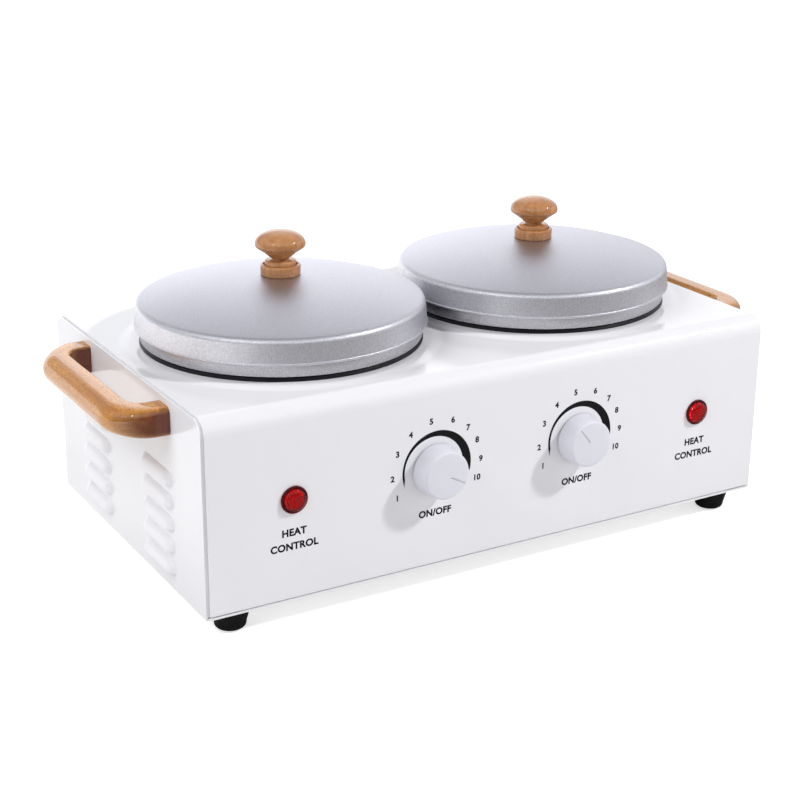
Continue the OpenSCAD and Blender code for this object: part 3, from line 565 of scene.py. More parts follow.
# The record's finish of each CAD node that stays in view
slotMaterials = {
    "white_enamel": whiteEnamel,
    "blasted_aluminium": blastedAluminium,
    "plain_aluminium": blastedAluminium,
    "plated_steel": platedSteel,
    "varnished_wood": handleWood,
    "black_rubber": blackRubber,
    "black_plastic": blackPlastic,
    "white_plastic": whitePlastic,
    "red_lens": redLens,
    "pale_plastic": palePlastic,
}
slotOf = {part["node"]: part["material_slot"] for part in frame["record"]["subparts"]}
for nodeName, node in cadNodes.items():
    while len(node.material_slots) < 1:
        node.data.materials.append(None)
    for place in node.material_slots:
        place.material = slotMaterials[slotOf[nodeName]]
print("CAD nodes painted")

caseLow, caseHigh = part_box("case_shell")
frontY = caseLow.y

# Lids: a shallow dome, a round shoulder, a flared skirt and a rolled edge
lid = {
    "shoulderIn": 1.3 * mm,  # the shoulder is this much inside the skirt's edge
    "shoulderRound": 4.0 * mm,
    "crown": 13.0 * mm,
    "sheet": 1.2 * mm,
    "bead": 0.9 * mm,
    "beadOut": 0.4 * mm,
    "screwHole": 2.2 * mm,
    "innerEdge": 0.7 * mm,  # where the sheet's inner side starts, above the bead's middle
    "steps": 192,
}


def lidProfile(low, high):
    radius = (high.x - low.x) / 2
    shoulderR = radius - lid["shoulderIn"]
    rounding = lid["shoulderRound"]
    inner = shoulderR - rounding
    crown = lid["crown"]
    domeR = (inner ** 2 + crown ** 2 + 2 * crown * rounding) / (2 * crown)
    topZ = high.z + domeR - math.sqrt(domeR ** 2 - lid["screwHole"] ** 2)
    shoulderZ = topZ - crown - rounding
    skirtZ = low.z + lid["bead"]
    tangent = math.degrees(math.atan2(shoulderZ - (topZ - domeR), inner))
    start = math.degrees(math.acos(lid["screwHole"] / domeR))

    def line(inset):
        dome = arc(0, topZ - domeR, domeR - inset, start, tangent, 30)
        return dome + arc(inner, shoulderZ, rounding - inset, tangent, 0, 14)[1:]

    flare = (radius - shoulderR) / (shoulderZ - skirtZ)
    footR, footZ = radius - lid["beadOut"], skirtZ + 1.25 * lid["bead"]
    outer = line(0) + [(lerp(shoulderR, footR, t), lerp(shoulderZ, footZ, t)) for t in (0.3, 0.6, 0.85, 1.0)]
    edge = arc(radius - lid["bead"], skirtZ, lid["bead"], 52, -190, 16)
    inside = [(radius - lid["sheet"] - lid["innerEdge"] * flare, skirtZ + lid["innerEdge"])]
    return outer + edge + inside + line(lid["sheet"])[::-1]


for side in ("left", "right"):
    low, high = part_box(side + "_lid")
    piece = lathe(side + "_lid_spun", lidProfile(low, high), uprightPlace(side + "_lid"),
                  blastedAluminium, side + "_lid", lid["steps"])
    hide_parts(side + "_lid")
print("lids made")

# Pots: a drawn cup with a flange, an upright rim and a rolled lip
pot = {
    "bodyR": 72.0 * mm,
    "sheet": 1.5 * mm,
    "corner": 12.0 * mm,
    "rimH": 21.0 * mm,
    "lipIn": 3.0 * mm,
    "flangeRound": 1.0 * mm,
    "flangeStep": 0.4 * mm,
    "innerBend": 1.0 * mm,
    "innerBreak": 0.5 * mm,
    "steps": 192,
}


def potProfile(low, high):
    t = pot["sheet"]
    rimR = (high.x - low.x) / 2
    rimZ = high.z - pot["rimH"]
    corner = pot["corner"]
    lipR = t / 2
    body = pot["bodyR"]
    outer = [(0, low.z)] + arc(body - corner, low.z + corner, corner, -90, 0, 12)
    outer += [(body, rimZ - 0.02 * mm), (body + pot["flangeStep"], rimZ)]
    outer += arc(rimR - pot["flangeRound"], rimZ + pot["flangeRound"], pot["flangeRound"], -90, 0, 6)
    lip = arc(rimR - lipR, high.z - lipR, lipR, 0, 90, 6)
    lip += arc(rimR - pot["lipIn"], high.z - lipR, lipR, 90, 270, 8)
    bend, broken = pot["innerBend"], pot["innerBreak"]
    inner = [(rimR - t, high.z - t), (rimR - t, rimZ + t + bend), (rimR - t - bend, rimZ + t)]
    inner += [(body - t + broken, rimZ + t), (body - t, rimZ + t - broken)]
    inner += arc(body - corner, low.z + corner, corner - t, 0, -90, 12)
    return outer + lip + inner + [(0, low.z + t)]


for side in ("left", "right"):
    low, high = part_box(side + "_pot")
    piece = lathe(side + "_pot_drawn", potProfile(low, high), uprightPlace(side + "_pot"),
                  rimAluminium, side + "_pot", pot["steps"], closed=False)
    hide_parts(side + "_pot")
print("pots made")

# Seat rings: black moulded rings on the case's plinths
seatRing = {
    "inner": 75.5 * mm,
    "slope": 1.4 * mm,
    "edge": 0.5 * mm,
    "lipT": 0.8 * mm,
    "innerLip": 82.05 * mm,
    "innerBreak": 0.3 * mm,
    "steps": 192,
}


def seatRingProfile(low, high):
    outerR = (high.x - low.x) / 2
    innerR, lipR, edge = seatRing["inner"], seatRing["innerLip"], seatRing["edge"]
    lipZ = low.z + seatRing["lipT"]
    line = [(innerR, lipZ), (lipR, lipZ), (lipR, low.z), (outerR, low.z), (outerR, low.z + edge)]
    line += arc(outerR - seatRing["slope"] - edge * 0.6, high.z - edge, edge, 30, 90, 5)
    return line + [(innerR + seatRing["innerBreak"], high.z)]


for side in ("left", "right"):
    low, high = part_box(side + "_seat_ring")
    piece = lathe(side + "_seat_ring_moulded", seatRingProfile(low, high), uprightPlace(side + "_seat_ring"),
                  blackPlastic, "case", seatRing["steps"])
    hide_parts(side + "_seat_ring")
print("seat rings made")

# Turned lid knobs
turned = {
    "neckR": 5.2 * mm,
    "collarR": 9.4 * mm,
    "footR": 11.9 * mm,
    "footH": 6.0 * mm,
    "collarZ": 8.8 * mm,
    "wideZ": 17.8 * mm,
    "footEdge": 1.0 * mm,
    "collarEdge": 1.5 * mm,
    "brow": 1.9 * mm,
    "groove": 1.3 * mm,
    "sag": 0.15 * mm,  # how hollow the head's underside is
    "fullness": 0.97,
    "steps": 96,
}


def turnedProfile(bottom, zero, top, headR):
    # bottom is under the foot's sunk middle, zero is the lid's top
    footR, collarR, neckR = turned["footR"], turned["collarR"], turned["neckR"]
    footTop, collarTop, wide = (zero + turned[key] for key in ("footH", "collarZ", "wideZ"))
    edge, rounding, brow = turned["footEdge"], turned["collarEdge"], turned["brow"]
    line = [(0, bottom), (footR - 0.5 * mm, bottom), (footR, bottom + 0.5 * mm)]
    line += arc(footR - edge, footTop - edge, edge, 0, 90, 6)
    line += [(collarR + 0.9 * mm, footTop - 0.1 * mm), (collarR + 0.5 * mm, footTop - turned["groove"]),
             (collarR, footTop - turned["groove"] * 0.9)]
    line += arc(collarR - rounding, collarTop - rounding, rounding, 0, 90, 8)
    line += [(neckR + 0.3 * mm, collarTop), (neckR, collarTop + 0.3 * mm), (neckR, collarTop + 0.6 * mm)]
    brim = arc(headR - brow, wide, brow, -50, 16, 8)
    for i in range(1, 6):
        t = i / 6
        line.append((lerp(neckR, brim[0][0], t) - turned["sag"] * math.sin(math.pi * t),
                     lerp(collarTop + 0.6 * mm, brim[0][1], t)))
    line += brim
    startR, startZ = brim[-1]
    rise = top - startZ
    for i in range(1, 17):
        a = math.radians(90 * i / 16)
        line.append((startR * math.cos(a), startZ + rise * math.sin(a) ** turned["fullness"]))
    return line


for side in ("left", "right"):
    low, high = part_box(side + "_lid_knob")
    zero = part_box(side + "_lid")[1].z
    piece = lathe(side + "_lid_knob_turned", turnedProfile(low.z, zero, high.z, (high.x - low.x) / 2),
                  uprightPlace(side + "_lid_knob"), turnedWood, side + "_lid",
                  turned["steps"], closed=False, crease=50)
    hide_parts(side + "_lid_knob")
print("lid knobs made")

# Handles: one bow of wood on each side, square at the wall and round at the grip
handle = {
    "legW": 16.0 * mm,
    "gripW": 16.0 * mm,
    "bend": 17.5 * mm,
    "outerRoundWall": 4.0 * mm,
    "innerRound": 1.8 * mm,
    "crownFlat": 0.2 * mm,  # half the flat that stays on the grip's outer side
    "bendSteps": 20,
    "gripSteps": 16,
    "cornerSteps": 8,
}


def handlePath(reach, legY):
    straight = reach - handle["gripW"] / 2 - handle["bend"]
    path = [(straight * t, legY, 0) for t in (0, 0.34, 0.67, 1)]
    for i in range(1, handle["bendSteps"] + 1):
        a = 90 * i / handle["bendSteps"]
        s, c = math.sin(math.radians(a)), math.cos(math.radians(a))
        path.append((straight + handle["bend"] * s, legY - handle["bend"] * (1 - c), a))
    for i in range(1, handle["gripSteps"] + 1):
        path.append((straight + handle["bend"], (legY - handle["bend"]) * (1 - i / handle["gripSteps"]), 90))
    return path + [(x, -y, 180 - a) for x, y, a in path[-2::-1]]


def handleSection(width, height, rOut, rIn):
    steps = handle["cornerSteps"]
    return (arc(rOut - width / 2, height - rOut, rOut, 180, 90, steps)
            + arc(width / 2 - rIn, height - rIn, rIn, 90, 0, steps)
            + arc(width / 2 - rIn, rIn, rIn, 0, -90, steps)
            + arc(rOut - width / 2, rOut, rOut, -90, -180, steps))


def makeHandle(side, sign):
    low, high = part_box(side + "_handle")
    wallX = high.x if sign < 0 else low.x
    reach = high.x - low.x
    height = high.z - low.z
    middle = (low.y + high.y) / 2
    legY = (high.y - low.y - handle["legW"]) / 2
    gripX = reach - handle["gripW"] / 2
    bm = bmesh.new()
    rings = []
    for x, y, a in handlePath(reach, legY):
        blend = smoothstep((legY - abs(y)) / handle["bend"] + x / gripX / 2)
        width = lerp(handle["legW"], handle["gripW"], blend)
        rOut = lerp(handle["outerRoundWall"], height / 2 - handle["crownFlat"], blend)
        s, c = math.sin(math.radians(a)), math.cos(math.radians(a))
        ring = []
        for u, v in handleSection(width, height, rOut, handle["innerRound"]):
            ring.append(bm.verts.new((wallX + sign * (x - u * s), middle + y - u * c, low.z + v)))
        rings.append(ring)
    count = len(rings[0])
    for a, b in zip(rings, rings[1:]):
        for i in range(count):
            j = (i + 1) % count
            bm.faces.new((a[i], a[j], b[j], b[i]))
    bm.faces.new(rings[0])
    bm.faces.new(rings[-1][::-1])
    piece = finishMesh(side + "_handle_bow", bm, handleWood, "case", 45)
    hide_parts(side + "_handle")


makeHandle("left", -1)
makeHandle("right", 1)
print("handles made")

# Control knobs: a plain cone with a soft edge and a cut pointer line
controlKnob = {
    "faceR": 14.2 * mm,
    "edge": 1.3 * mm,
    "wall": 1.8 * mm,
    "faceRise": 0.25 * mm,
    "hubR": 7.0 * mm,
    "faceT": 2.2 * mm,
    "boreR": 3.2 * mm,
    "boreFloor": 2.4 * mm,
    "hubBack": 3.4 * mm,
    "backEdge": 0.25 * mm,
    "steps": 144,
    "groove": (0.9 * mm, 11.0 * mm, 1.6 * mm),  # width, length, depth of the cutter
    "grooveRound": 0.2 * mm,
    "grooveStart": 2.2 * mm,
    "settings": {"left": 118, "right": -38},  # where each pointer stands at rest, from straight up
}


def makeControlKnob(side):
    low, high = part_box(side + "_control_knob")
    place = frontPlace(side + "_control_knob")
    backZ = frontY - high.y
    faceZ = frontY - low.y
    backR = (high.x - low.x) / 2
    faceR, edge = controlKnob["faceR"], controlKnob["edge"]
    rise, wall, hubR = controlKnob["faceRise"], controlKnob["wall"], controlKnob["hubR"]
    backEdge, boreR = controlKnob["backEdge"], controlKnob["boreR"]
    innerZ, floorZ = faceZ - controlKnob["faceT"], faceZ - controlKnob["boreFloor"]
    hubZ = backZ + controlKnob["hubBack"]
    profile = [(0, faceZ), (faceR * 0.35, faceZ - rise * 0.12), (faceR * 0.7, faceZ - rise * 0.5)]
    profile += arc(faceR - edge, faceZ - rise - edge, edge, 84, 4, 8)
    profile += [(lerp(faceR, backR, t), lerp(faceZ - edge, backZ, t)) for t in (0.4, 0.8)]
    profile += [(backR, backZ + backEdge), (backR - backEdge, backZ), (backR - wall, backZ)]
    profile += [(faceR - wall, innerZ), (hubR, innerZ), (hubR, hubZ)]
    profile += [(boreR, hubZ), (boreR, floorZ), (0, floorZ)]
    piece = lathe(side + "_control_knob_moulded", profile, place, whitePlastic, side + "_control",
                  controlKnob["steps"], closed=False)
    width, length, depth = controlKnob["groove"]
    cutter = bmesh.new()
    turn = Matrix.Rotation(math.radians(-controlKnob["settings"][side]), 4, "Z")
    out = Matrix.Translation((0, controlKnob["grooveStart"] + length / 2, faceZ))
    roundedBoxInto(cutter, (width, length, depth), place @ turn @ out, controlKnob["grooveRound"])
    mesh = bpy.data.meshes.new("grooveCutter")
    cutter.to_mesh(mesh)
    cutter.free()
    cutWith(piece, mesh)
    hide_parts(side + "_control_knob")


makeControlKnob("left")
makeControlKnob("right")
print("control knobs made")

# Pilot lamps: a clear red lens over a plate of small prisms
lamp = {
    "flange": 1.3 * mm,
    "flangeIn": 6.9 * mm,
    "flangeRound": 0.45 * mm,
    "groove": 0.35 * mm,
    "domeR": 6.5 * mm,
    "domeFoot": 0.3 * mm,
    "underZ": 0.5 * mm,
    "stemR": 5.9 * mm,
    "stemWall": 0.5 * mm,
    "steps": 96,
    "plateGap": 0.6 * mm,
    "plateLow": -0.9 * mm,
    "plateHigh": -0.45 * mm,
    "prismFoot": -0.47 * mm,
    "prismPitch": 1.45 * mm,
    "prismH": 0.8 * mm,
    "prismTurn": 18,
}


def makeLamp(side):
    low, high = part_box(side + "_lamp_lens")
    place = frontPlace(side + "_lamp_lens")
    lensR = (high.x - low.x) / 2
    domeTop = frontY - low.y
    stemEnd = frontY - high.y
    flange, groove = lamp["flange"], lamp["groove"]
    rounding, domeR, stemR = lamp["flangeRound"], lamp["domeR"], lamp["stemR"]
    boreR, footZ = stemR - lamp["stemWall"], flange + lamp["domeFoot"]
    profile = [(lensR - 0.1 * mm, 0), (lensR, 0.15 * mm)]
    profile += arc(lensR - rounding, flange - rounding, rounding, 0, 90, 6)
    profile += [(lamp["flangeIn"], flange), (lamp["flangeIn"] - 0.25 * mm, flange - groove)]
    profile += [(domeR, flange - groove), (domeR - 0.05 * mm, footZ)]
    for i in range(1, 13):
        a = math.radians(90 * i / 12)
        profile.append((domeR * math.cos(a) * 0.985, footZ + (domeTop - footZ) * math.sin(a) ** 0.9))
    profile += [(0, lamp["underZ"]), (boreR, lamp["underZ"]), (boreR, stemEnd), (stemR, stemEnd), (stemR, 0)]
    lens = lathe(side + "_lamp_lens_clear", profile, place, redLens, "case", lamp["steps"])
    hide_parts(side + "_lamp_lens")

    bm = bmesh.new()
    pitch, tall = lamp["prismPitch"], lamp["prismH"]
    plateR = stemR - lamp["plateGap"]
    lowZ, highZ, baseZ = lamp["plateLow"], lamp["plateHigh"], lamp["prismFoot"]
    latheInto(bm, [(0, lowZ), (plateR, lowZ), (plateR, highZ), (0, highZ)], place, 64, False)
    turn = Matrix.Rotation(math.radians(lamp["prismTurn"]), 4, "Z")
    reach = int(plateR / pitch) + 1
    for i in range(-reach, reach + 1):
        for j in range(-reach, reach + 1):
            x, y = i * pitch, j * pitch
            if math.hypot(x, y) > plateR - pitch * 0.62:
                continue
            half = pitch / 2
            base = [bm.verts.new(place @ turn @ Vector((x + a * half, y + b * half, baseZ)))
                    for a, b in ((-1, -1), (1, -1), (1, 1), (-1, 1))]
            tip = bm.verts.new(place @ turn @ Vector((x, y, baseZ + tall)))
            for k in range(4):
                bm.faces.new((base[k], base[(k + 1) % 4], tip))
            bm.faces.new(base[::-1])
    finishMesh(side + "_lamp_prisms", bm, redPrism, "case", 15)


makeLamp("left")
makeLamp("right")
print("lamps made")

# Feet: soft rubber cones with a recess for the screw
foot = {
    "baseR": 9.1 * mm,
    "baseRound": 3.0 * mm,
    "recessR": 4.4 * mm,
    "web": 4.0 * mm,
    "shoulder": 2.0 * mm,
    "hole": 2.2 * mm,
    "steps": 72,
}
for name in ("front_left_foot", "front_right_foot", "back_left_foot", "back_right_foot"):
    low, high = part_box(name)
    topR, shoulderZ, webZ = (high.x - low.x) / 2, high.z - foot["shoulder"], high.z - foot["web"]
    profile = arc(foot["baseR"] - foot["baseRound"], foot["baseRound"], foot["baseRound"], -90, 8, 10)
    profile += [(topR - 0.1 * mm, shoulderZ), (topR, shoulderZ + 0.2 * mm), (topR, high.z),
                (foot["hole"], high.z), (foot["hole"], webZ), (foot["recessR"], webZ),
                (foot["recessR"], 0.4 * mm), (foot["recessR"] + 0.4 * mm, 0)]
    piece = lathe(name + "_moulded", profile, uprightPlace(name), blackRubber, "case",
                  foot["steps"])
    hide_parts(name)
print("feet made")

# Printing on the front: dials with numbers, a crescent, and the words by the lamps
printing = {
    "thickness": 0.03 * mm,
    "sunk": 0.01 * mm,
    "bold": 0.042,
    "spacing": 1.06,
    "digitH": 3.5 * mm,
    "switchH": 4.1 * mm,
    "labelH": 4.2 * mm,
    "numberR": 29.2 * mm,
    "numbers": {"1": -117, "2": -92, "3": -63, "4": -37, "5": -8.5,  # degrees from straight up
                "6": 20, "7": 44, "8": 65, "9": 89.5, "10": 112},
    "dialShift": (1.1 * mm, 0.2 * mm),
    "crescentOuter": 22.6 * mm,
    "crescentInner": 19.2 * mm,
    "crescentShift": (-2.0 * mm, 0.2 * mm),
    "crescentLeft": 0.2 * mm,
    "crescentFrom": -112,
    "crescentTo": 104,
    "switchDrop": 26.5 * mm,
    "labelDrops": (19.0 * mm, 27.3 * mm),
}


def textMesh(words):
    curve = bpy.data.curves.new("words", "FONT")
    curve.body = words
    curve.offset = printing["bold"]
    curve.extrude = 0.001
    curve.space_character = printing["spacing"]
    curve.resolution_u = 6
    obj = bpy.data.objects.new("words", curve)
    sceneObjects.link(obj)
    mesh = bakedMesh(obj)
    bpy.data.objects.remove(obj)
    return mesh


capHeight = max(v.co.y for v in textMesh("H").vertices)


def addWords(bm, words, x, z, height):
    mesh = textMesh(words)
    scale = height / capHeight
    lowX = min(v.co.x for v in mesh.vertices)
    highX = max(v.co.x for v in mesh.vertices)
    start = len(bm.verts)
    bm.from_mesh(mesh)
    bm.verts.ensure_lookup_table()
    for v in bm.verts[start:]:
        flat = Vector((x + (v.co.x - (lowX + highX) / 2) * scale, frontY,
                       z + (v.co.y - capHeight / 2) * scale))
        flat.y -= printing["thickness"] if v.co.z > 0 else -printing["sunk"]
        v.co = flat


def addCrescent(bm, x, z):
    steps = 96
    shiftX, shiftZ = printing["crescentShift"]
    outerR, innerR = printing["crescentOuter"], printing["crescentInner"]
    rows = []
    for i in range(steps + 1):
        clock = math.radians(lerp(printing["crescentFrom"], printing["crescentTo"], i / steps))
        dx, dz = math.sin(clock), math.cos(clock)
        along = shiftX * dx + shiftZ * dz
        inner = along + math.sqrt(innerR ** 2 - shiftX ** 2 - shiftZ ** 2 + along ** 2)
        inner = outerR - (outerR - inner) * smoothstep(i / steps * 14 + 0.02)
        row = []
        for r in (inner, outerR):
            for y in (frontY + printing["sunk"], frontY - printing["thickness"]):
                row.append(bm.verts.new((x + r * dx, y, z + r * dz)))
        rows.append(row)
    for a, b in zip(rows, rows[1:]):
        bm.faces.new((a[1], a[3], b[3], b[1]))
        bm.faces.new((a[0], b[0], b[2], a[2]))
        bm.faces.new((a[1], b[1], b[0], a[0]))
        bm.faces.new((a[3], a[2], b[2], b[3]))
    bm.faces.new((rows[0][0], rows[0][2], rows[0][3], rows[0][1]))
    bm.faces.new((rows[-1][0], rows[-1][1], rows[-1][3], rows[-1][2]))


for side in ("left", "right"):
    knob = boxCentre(side + "_control_knob")
    lens = boxCentre(side + "_lamp_lens")
    dialX = knob.x + printing["dialShift"][0]
    dialZ = knob.z + printing["dialShift"][1]
    bm = bmesh.new()
    for words, clock in printing["numbers"].items():
        a = math.radians(clock)
        x, z = dialX + printing["numberR"] * math.sin(a), dialZ + printing["numberR"] * math.cos(a)
        addWords(bm, words, x, z, printing["digitH"])
    addWords(bm, "ON/OFF", knob.x, knob.z - printing["switchDrop"], printing["switchH"])
    addCrescent(bm, dialX - printing["crescentLeft"], dialZ)
    finishMesh(side + "_dial_print", bm, printInk, "case", 20)
    bm = bmesh.new()
    for words, drop in zip(("HEAT", "CONTROL"), printing["labelDrops"]):
        addWords(bm, words, lens.x, lens.z - drop, printing["labelH"])
    finishMesh(side + "_label_print", bm, printInk, "case", 20)
print("printing made")

# Screw heads that show from outside: pan heads with a cross recess
screw = {
    "headR": 2.8 * mm,
    "headH": 1.8 * mm,
    "shankR": 1.5 * mm,
    "shankL": 6.9 * mm,
    "chamfer": 0.4 * mm,
    "crossWide": 0.28,  # shares of the head's radius, and of its height
    "crossLong": 1.15,
    "crossDeep": 0.55,
}


def screwMesh():
    # head points down along -z, its seat is at z = 0
    headR, headH, shankR, shankL = (screw[key] for key in ("headR", "headH", "shankR", "shankL"))
    chamfer = screw["chamfer"]
    bm = bmesh.new()
    profile = [(0, -headH)]
    for i in range(1, 7):
        a = math.radians(15 * i)
        profile.append((headR * math.sin(a), -headH * (0.35 + 0.65 * math.cos(a))))
    profile += [(headR, 0), (shankR, 0), (shankR, shankL - chamfer), (shankR - chamfer, shankL), (0, shankL)]
    latheInto(bm, profile, Matrix(), 40, False)
    bmesh.ops.recalc_face_normals(bm, faces=bm.faces)
    mesh = bpy.data.meshes.new("screw")
    bm.to_mesh(mesh)
    bm.free()
    obj = bpy.data.objects.new("screw", mesh)
    sceneObjects.link(obj)
    cutter = bmesh.new()
    width = headR * screw["crossWide"]
    length = headR * screw["crossLong"]
    deep = headH * screw["crossDeep"] * 2
    for turn in (0, 90):
        place = Matrix.Translation((0, 0, -headH)) @ Matrix.Rotation(math.radians(turn), 4, "Z")
        roundedBoxInto(cutter, (width, length, deep), place)
        cutterMesh = bpy.data.meshes.new("cross")
        cutter.to_mesh(cutterMesh)
        cutter.clear()
        cutWith(obj, cutterMesh)
    cutter.free()
    mesh = obj.data
    bpy.data.objects.remove(obj)
    return mesh


def placeScrews(name, node, mesh, spots, direction):
    # direction is the way that the screws' shanks point
    turn = Vector((0, 0, 1)).rotation_difference(Vector(direction)).to_matrix().to_4x4()
    bm = bmesh.new()
    for k, spot in enumerate(spots):
        start = len(bm.verts)
        bm.from_mesh(mesh)
        bm.verts.ensure_lookup_table()
        place = Matrix.Translation(spot) @ turn @ Matrix.Rotation(math.radians(37 * k + 11), 4, "Z")
        for v in bm.verts[start:]:
            v.co = place @ v.co
    piece = finishMesh(name, bm, platedSteel, "case", 40)
    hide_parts(node)


def looseParts(node):
    # lowest and highest corner of each separate solid in a CAD node
    mesh = cadNodes[node].data
    bm = bmesh.new()
    bm.from_mesh(mesh)
    bmesh.ops.remove_doubles(bm, verts=bm.verts, dist=1e-6)
    seen, out = set(), []
    for first in bm.verts:
        if first in seen:
            continue
        stack, part = [first], []
        seen.add(first)
        while stack:
            v = stack.pop()
            part.append(v.co.copy())
            for e in v.link_edges:
                w = e.other_vert(v)
                if w not in seen:
                    seen.add(w)
                    stack.append(w)
        low = Vector([min(c[i] for c in part) for i in range(3)])
        high = Vector([max(c[i] for c in part) for i in range(3)])
        out.append((low, high))
    bm.free()
    return out


backSpots = [((low.x + high.x) / 2, caseHigh.y, (low.z + high.z) / 2)
             for low, high in looseParts("back_screws")]
placeScrews("back_screws_cross", "back_screws", screwMesh(), backSpots, (0, -1, 0))
print("screws made")

# Floor: pale and plain, white to the camera, brighter towards its edges so that it meets the backdrop
floor = {
    "size": 6.0,
    "drop": 0.5 * mm,  # under the feet
    "albedo": 0.80,
    "roughness": 0.9,
    "specular": 0.1,
    "glowNear": 0.64,
    "glowFar": 0.90,
    "fadeFrom": 0.6,
    "fadeTo": 2.4,
    "mirror": (0.1, 1.7),  # glow in mirrors, in front of and beside the object
    "mirrorFrom": 0.02,
    "mirrorTo": 0.22,
    "frontDim": 0.5,
    "sideWay": (-0.70, 0.71, 0.0),
}
bpy.ops.mesh.primitive_plane_add(size=floor["size"], location=(0, 0, -floor["drop"]))
floorPlane = bpy.context.object
floorPlane.name = "floor"
floorMaterial, n, floorShader = newMaterial("floor", {
    "Roughness": floor["roughness"], "Specular IOR Level": floor["specular"]})
path = n.add("ShaderNodeLightPath")
glossy = path.outputs["Is Glossy Ray"]
spot = objectPoint(n)
away = n.add("ShaderNodeVectorMath", operation="LENGTH")
n.link(spot, away.inputs[0])
beside = n.dot(spot, floor["sideWay"])
mirror = n.math("MULTIPLY", glossy, n.remap(beside, floor["mirrorFrom"], floor["mirrorTo"], *floor["mirror"]))
plainly = n.math("MAXIMUM", path.outputs["Is Camera Ray"], path.outputs["Is Transmission Ray"])
seen = n.math("MAXIMUM", plainly, mirror)
dim = n.math("SUBTRACT", 1.0, n.math("MULTIPLY", glossy, floor["frontDim"]))
tone = n.math("MULTIPLY", dim, floor["albedo"])
plain = n.add("ShaderNodeCombineColor")
for channel in range(3):
    n.link(tone, plain.inputs[channel])
n.link(plain.outputs[0], floorShader.inputs["Base Color"])
edge = n.remap(away.outputs["Value"], floor["fadeFrom"], floor["fadeTo"], floor["glowNear"], floor["glowFar"])
glow = n.add("ShaderNodeEmission")
n.link(n.math("MULTIPLY", seen, edge), glow.inputs["Strength"])
both = n.add("ShaderNodeAddShader")
n.link(floorShader.outputs[0], both.inputs[0])
n.link(glow.outputs[0], both.inputs[1])
n.link(both.outputs[0], floorMaterial.node_tree.nodes["Material Output"].inputs["Surface"])
floorPlane.data.materials.append(floorMaterial)

# World: white to the camera, a soft studio for everything else. Mirrors see a bright wall
# behind the object, a bank of light above the front, and a dim room in front.
studio = {
    "diffuse": 0.30,
    "ceiling": 0.55,
    "ceilingFrom": 0.5,
    "leftGlow": 0.51,
    "leftFrom": 0.42,
    "leftTo": 0.78,
    "wall": (1.65, 2.05),  # at the floor's height and above
    "wallTurn": 0.3,
    "wallWay": (0.504, 0.864, 0.0),  # level, away from the front left corner
    "leftWay": (-0.864, 0.504, 0.0),
    "wallFrom": -0.35,
    "wallTo": 0.25,
    "topEdge": (0.43, 0.52),
    "topEdgeRise": 0.4,  # how much lower the wall's upper edge is at the left
    "topLossFrom": 0.05,
    "topLossTo": 0.5,
    "topLoss": (0.30, 0.65),  # how much darker the wall is over its upper edge, behind and at the left
    "rightDim": 0.50,
    "rightFrom": -0.5,
    "rightTo": 0.1,
    "room": (0.15, 1.25),  # low, and high where the bank of light is
    "bankFrom": 0.12,
    "bankTo": 0.55,
    "overhead": 0.35,
    "overheadFrom": 0.70,
    "overheadTo": 0.90,
    "seenTint": (1.0, 1.0, 1.0, 1),
    "mirrorTint": (0.955, 0.965, 1.0, 1),
}
world = bpy.data.worlds.new("studio")
bpy.context.scene.world = world
world.use_nodes = True
world.node_tree.nodes.clear()
n = Nodes(world.node_tree)
direction = n.add("ShaderNodeTexCoord").outputs["Generated"]
height = n.dot(direction, (0, 0, 1))
toLeft = n.dot(direction, studio["leftWay"])
level = n.math("ADD", height, n.math("MULTIPLY", n.math("MAXIMUM", toLeft, 0.0), studio["topEdgeRise"]))
topLoss = n.remap(toLeft, studio["topLossFrom"], studio["topLossTo"], *studio["topLoss"])
loss = n.math("MULTIPLY", n.remap(level, *studio["topEdge"]), topLoss)
wall = n.remap(height, 0.0, studio["wallTurn"], *studio["wall"])
wall = n.math("MULTIPLY", wall, n.math("SUBTRACT", 1.0, loss))
rightDim = n.remap(toLeft, studio["rightFrom"], studio["rightTo"], studio["rightDim"], 1.0)
wall = n.math("MULTIPLY", wall, rightDim)
room = n.remap(height, studio["bankFrom"], studio["bankTo"], *studio["room"])
behind = n.remap(n.dot(direction, studio["wallWay"]), studio["wallFrom"], studio["wallTo"])
before = n.math("SUBTRACT", 1.0, behind)
mirrored = n.math("ADD", n.math("MULTIPLY", wall, behind), n.math("MULTIPLY", room, before))
overhead = n.remap(height, studio["overheadFrom"], studio["overheadTo"], 1.0, studio["overhead"])
mirrored = n.math("MULTIPLY", mirrored, overhead)
path = n.add("ShaderNodeLightPath")
glossy = path.outputs["Is Glossy Ray"]
ceiling = n.remap(height, studio["ceilingFrom"], 1.0, 1.0, studio["ceiling"])
even = n.math("MULTIPLY", ceiling, studio["diffuse"])
leftSide = n.dot(direction, (-1, 0, 0))
leftGlow = n.remap(leftSide, studio["leftFrom"], studio["leftTo"], 0.0, studio["leftGlow"])
soft = n.math("MULTIPLY", n.math("SUBTRACT", 1.0, glossy), n.math("ADD", even, leftGlow))
other = n.math("ADD", n.math("MULTIPLY", glossy, mirrored), soft)
seenPlain = n.math("MAXIMUM", path.outputs["Is Camera Ray"], path.outputs["Is Transmission Ray"])
blendCamera = n.add("ShaderNodeMix", data_type="FLOAT")
n.link(seenPlain, blendCamera.inputs["Factor"])
n.link(other, blendCamera.inputs["A"])
blendCamera.inputs["B"].default_value = 1.0
background = n.add("ShaderNodeBackground")
n.link(n.mix(glossy, studio["seenTint"], studio["mirrorTint"]), background.inputs["Color"])
n.link(blendCamera.outputs["Result"], background.inputs["Strength"])
n.link(background.outputs[0], n.add("ShaderNodeOutputWorld").inputs["Surface"])

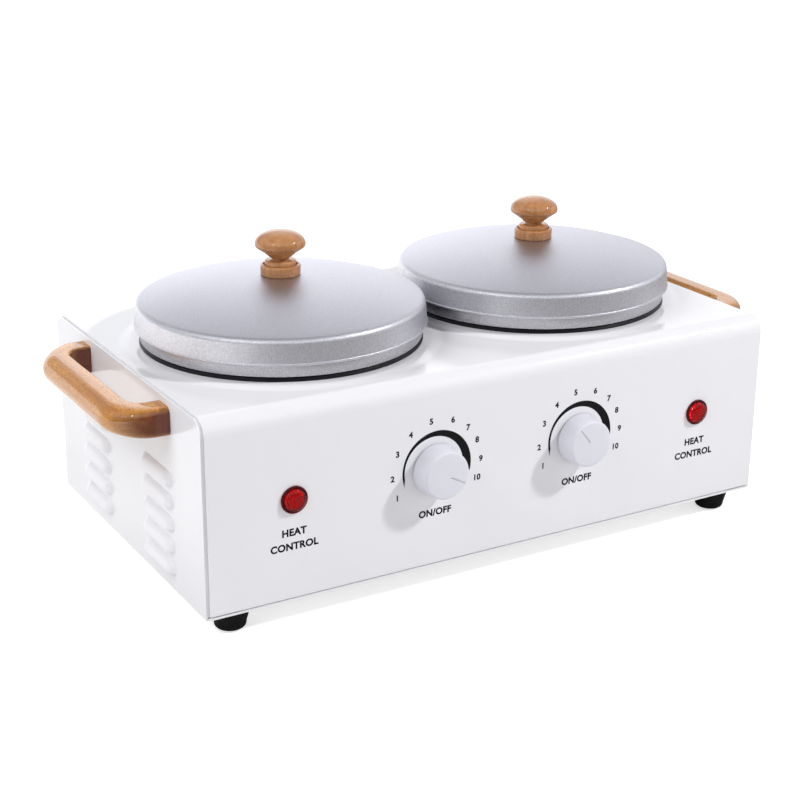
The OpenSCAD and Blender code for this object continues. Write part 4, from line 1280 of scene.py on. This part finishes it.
# Lamps: way to the lamp, distance, size, watts, colour, and whether mirrors show it.
# The key's shine is the share of its light that metal mirrors.
softboxes = {
    "key": ((0.62, -0.455, 0.637), 2.7, 0.19, 29.0, (1.0, 0.99, 0.98), False),
    "keyShine": ((0.62, -0.455, 0.637), 2.69, 0.19, 12.0, (1.0, 0.99, 0.98), True),
    "left": ((-0.66, 0.10, 0.74), 1.7, 1.0, 11.6, (0.99, 0.99, 1.0), False),
    "front": ((0.58, -0.81, 0.08), 1.4, 0.8, 2.7, (0.99, 0.99, 1.0), False),
    "upper": ((-0.60, -0.50, 0.62), 1.8, 0.9, 0.6, (1.0, 0.995, 0.985), False),
    "spot": ((-0.645, -0.32, 0.61), 1.9, 0.12, 1.8, (1.0, 1.0, 1.0), True),
}
aim = Vector((0, 0, 0.09))
for name, (way, distance, size, watts, tint, shown) in softboxes.items():
    light = bpy.data.lights.new(name, "AREA")
    light.shape = "SQUARE"
    light.size = size
    light.energy = watts
    light.color = tint
    lightObject = bpy.data.objects.new(name, light)
    lightObject.location = aim + Vector(way).normalized() * distance
    lightObject.rotation_euler = (aim - lightObject.location).to_track_quat("-Z", "Y").to_euler()
    lightObject.visible_glossy = shown
    sceneObjects.link(lightObject)

# Camera: fitted to the photograph's edges
view = {
    "place": (-506.55 * mm, -850.66 * mm, 435.26 * mm),
    "azimuth": -30.28,
    "elevation": 20.06,
    "roll": 0.40,
    "focalPixels": 1673.9,
    "framePixels": 800,
    "sensor": 36.0,
}
camera = bpy.data.cameras.new("camera")
camera.sensor_width = view["sensor"]
camera.lens = view["focalPixels"] / view["framePixels"] * view["sensor"]
camera.clip_end = 20
cameraObject = bpy.data.objects.new("camera", camera)
az, el, roll = (math.radians(view[key]) for key in ("azimuth", "elevation", "roll"))
back = Vector((math.sin(az) * math.cos(el), -math.cos(az) * math.cos(el), math.sin(el)))
right = Vector((0, 0, 1)).cross(back).normalized()
up = back.cross(right)
right, up = (right * math.cos(roll) + up * math.sin(roll), up * math.cos(roll) - right * math.sin(roll))
turn = Matrix((right, up, back)).transposed().to_4x4()
cameraObject.matrix_world = Matrix.Translation(view["place"]) @ turn
sceneObjects.link(cameraObject)
bpy.context.scene.camera = cameraObject
bpy.context.scene.view_settings.view_transform = "Standard"
print("stage ready")
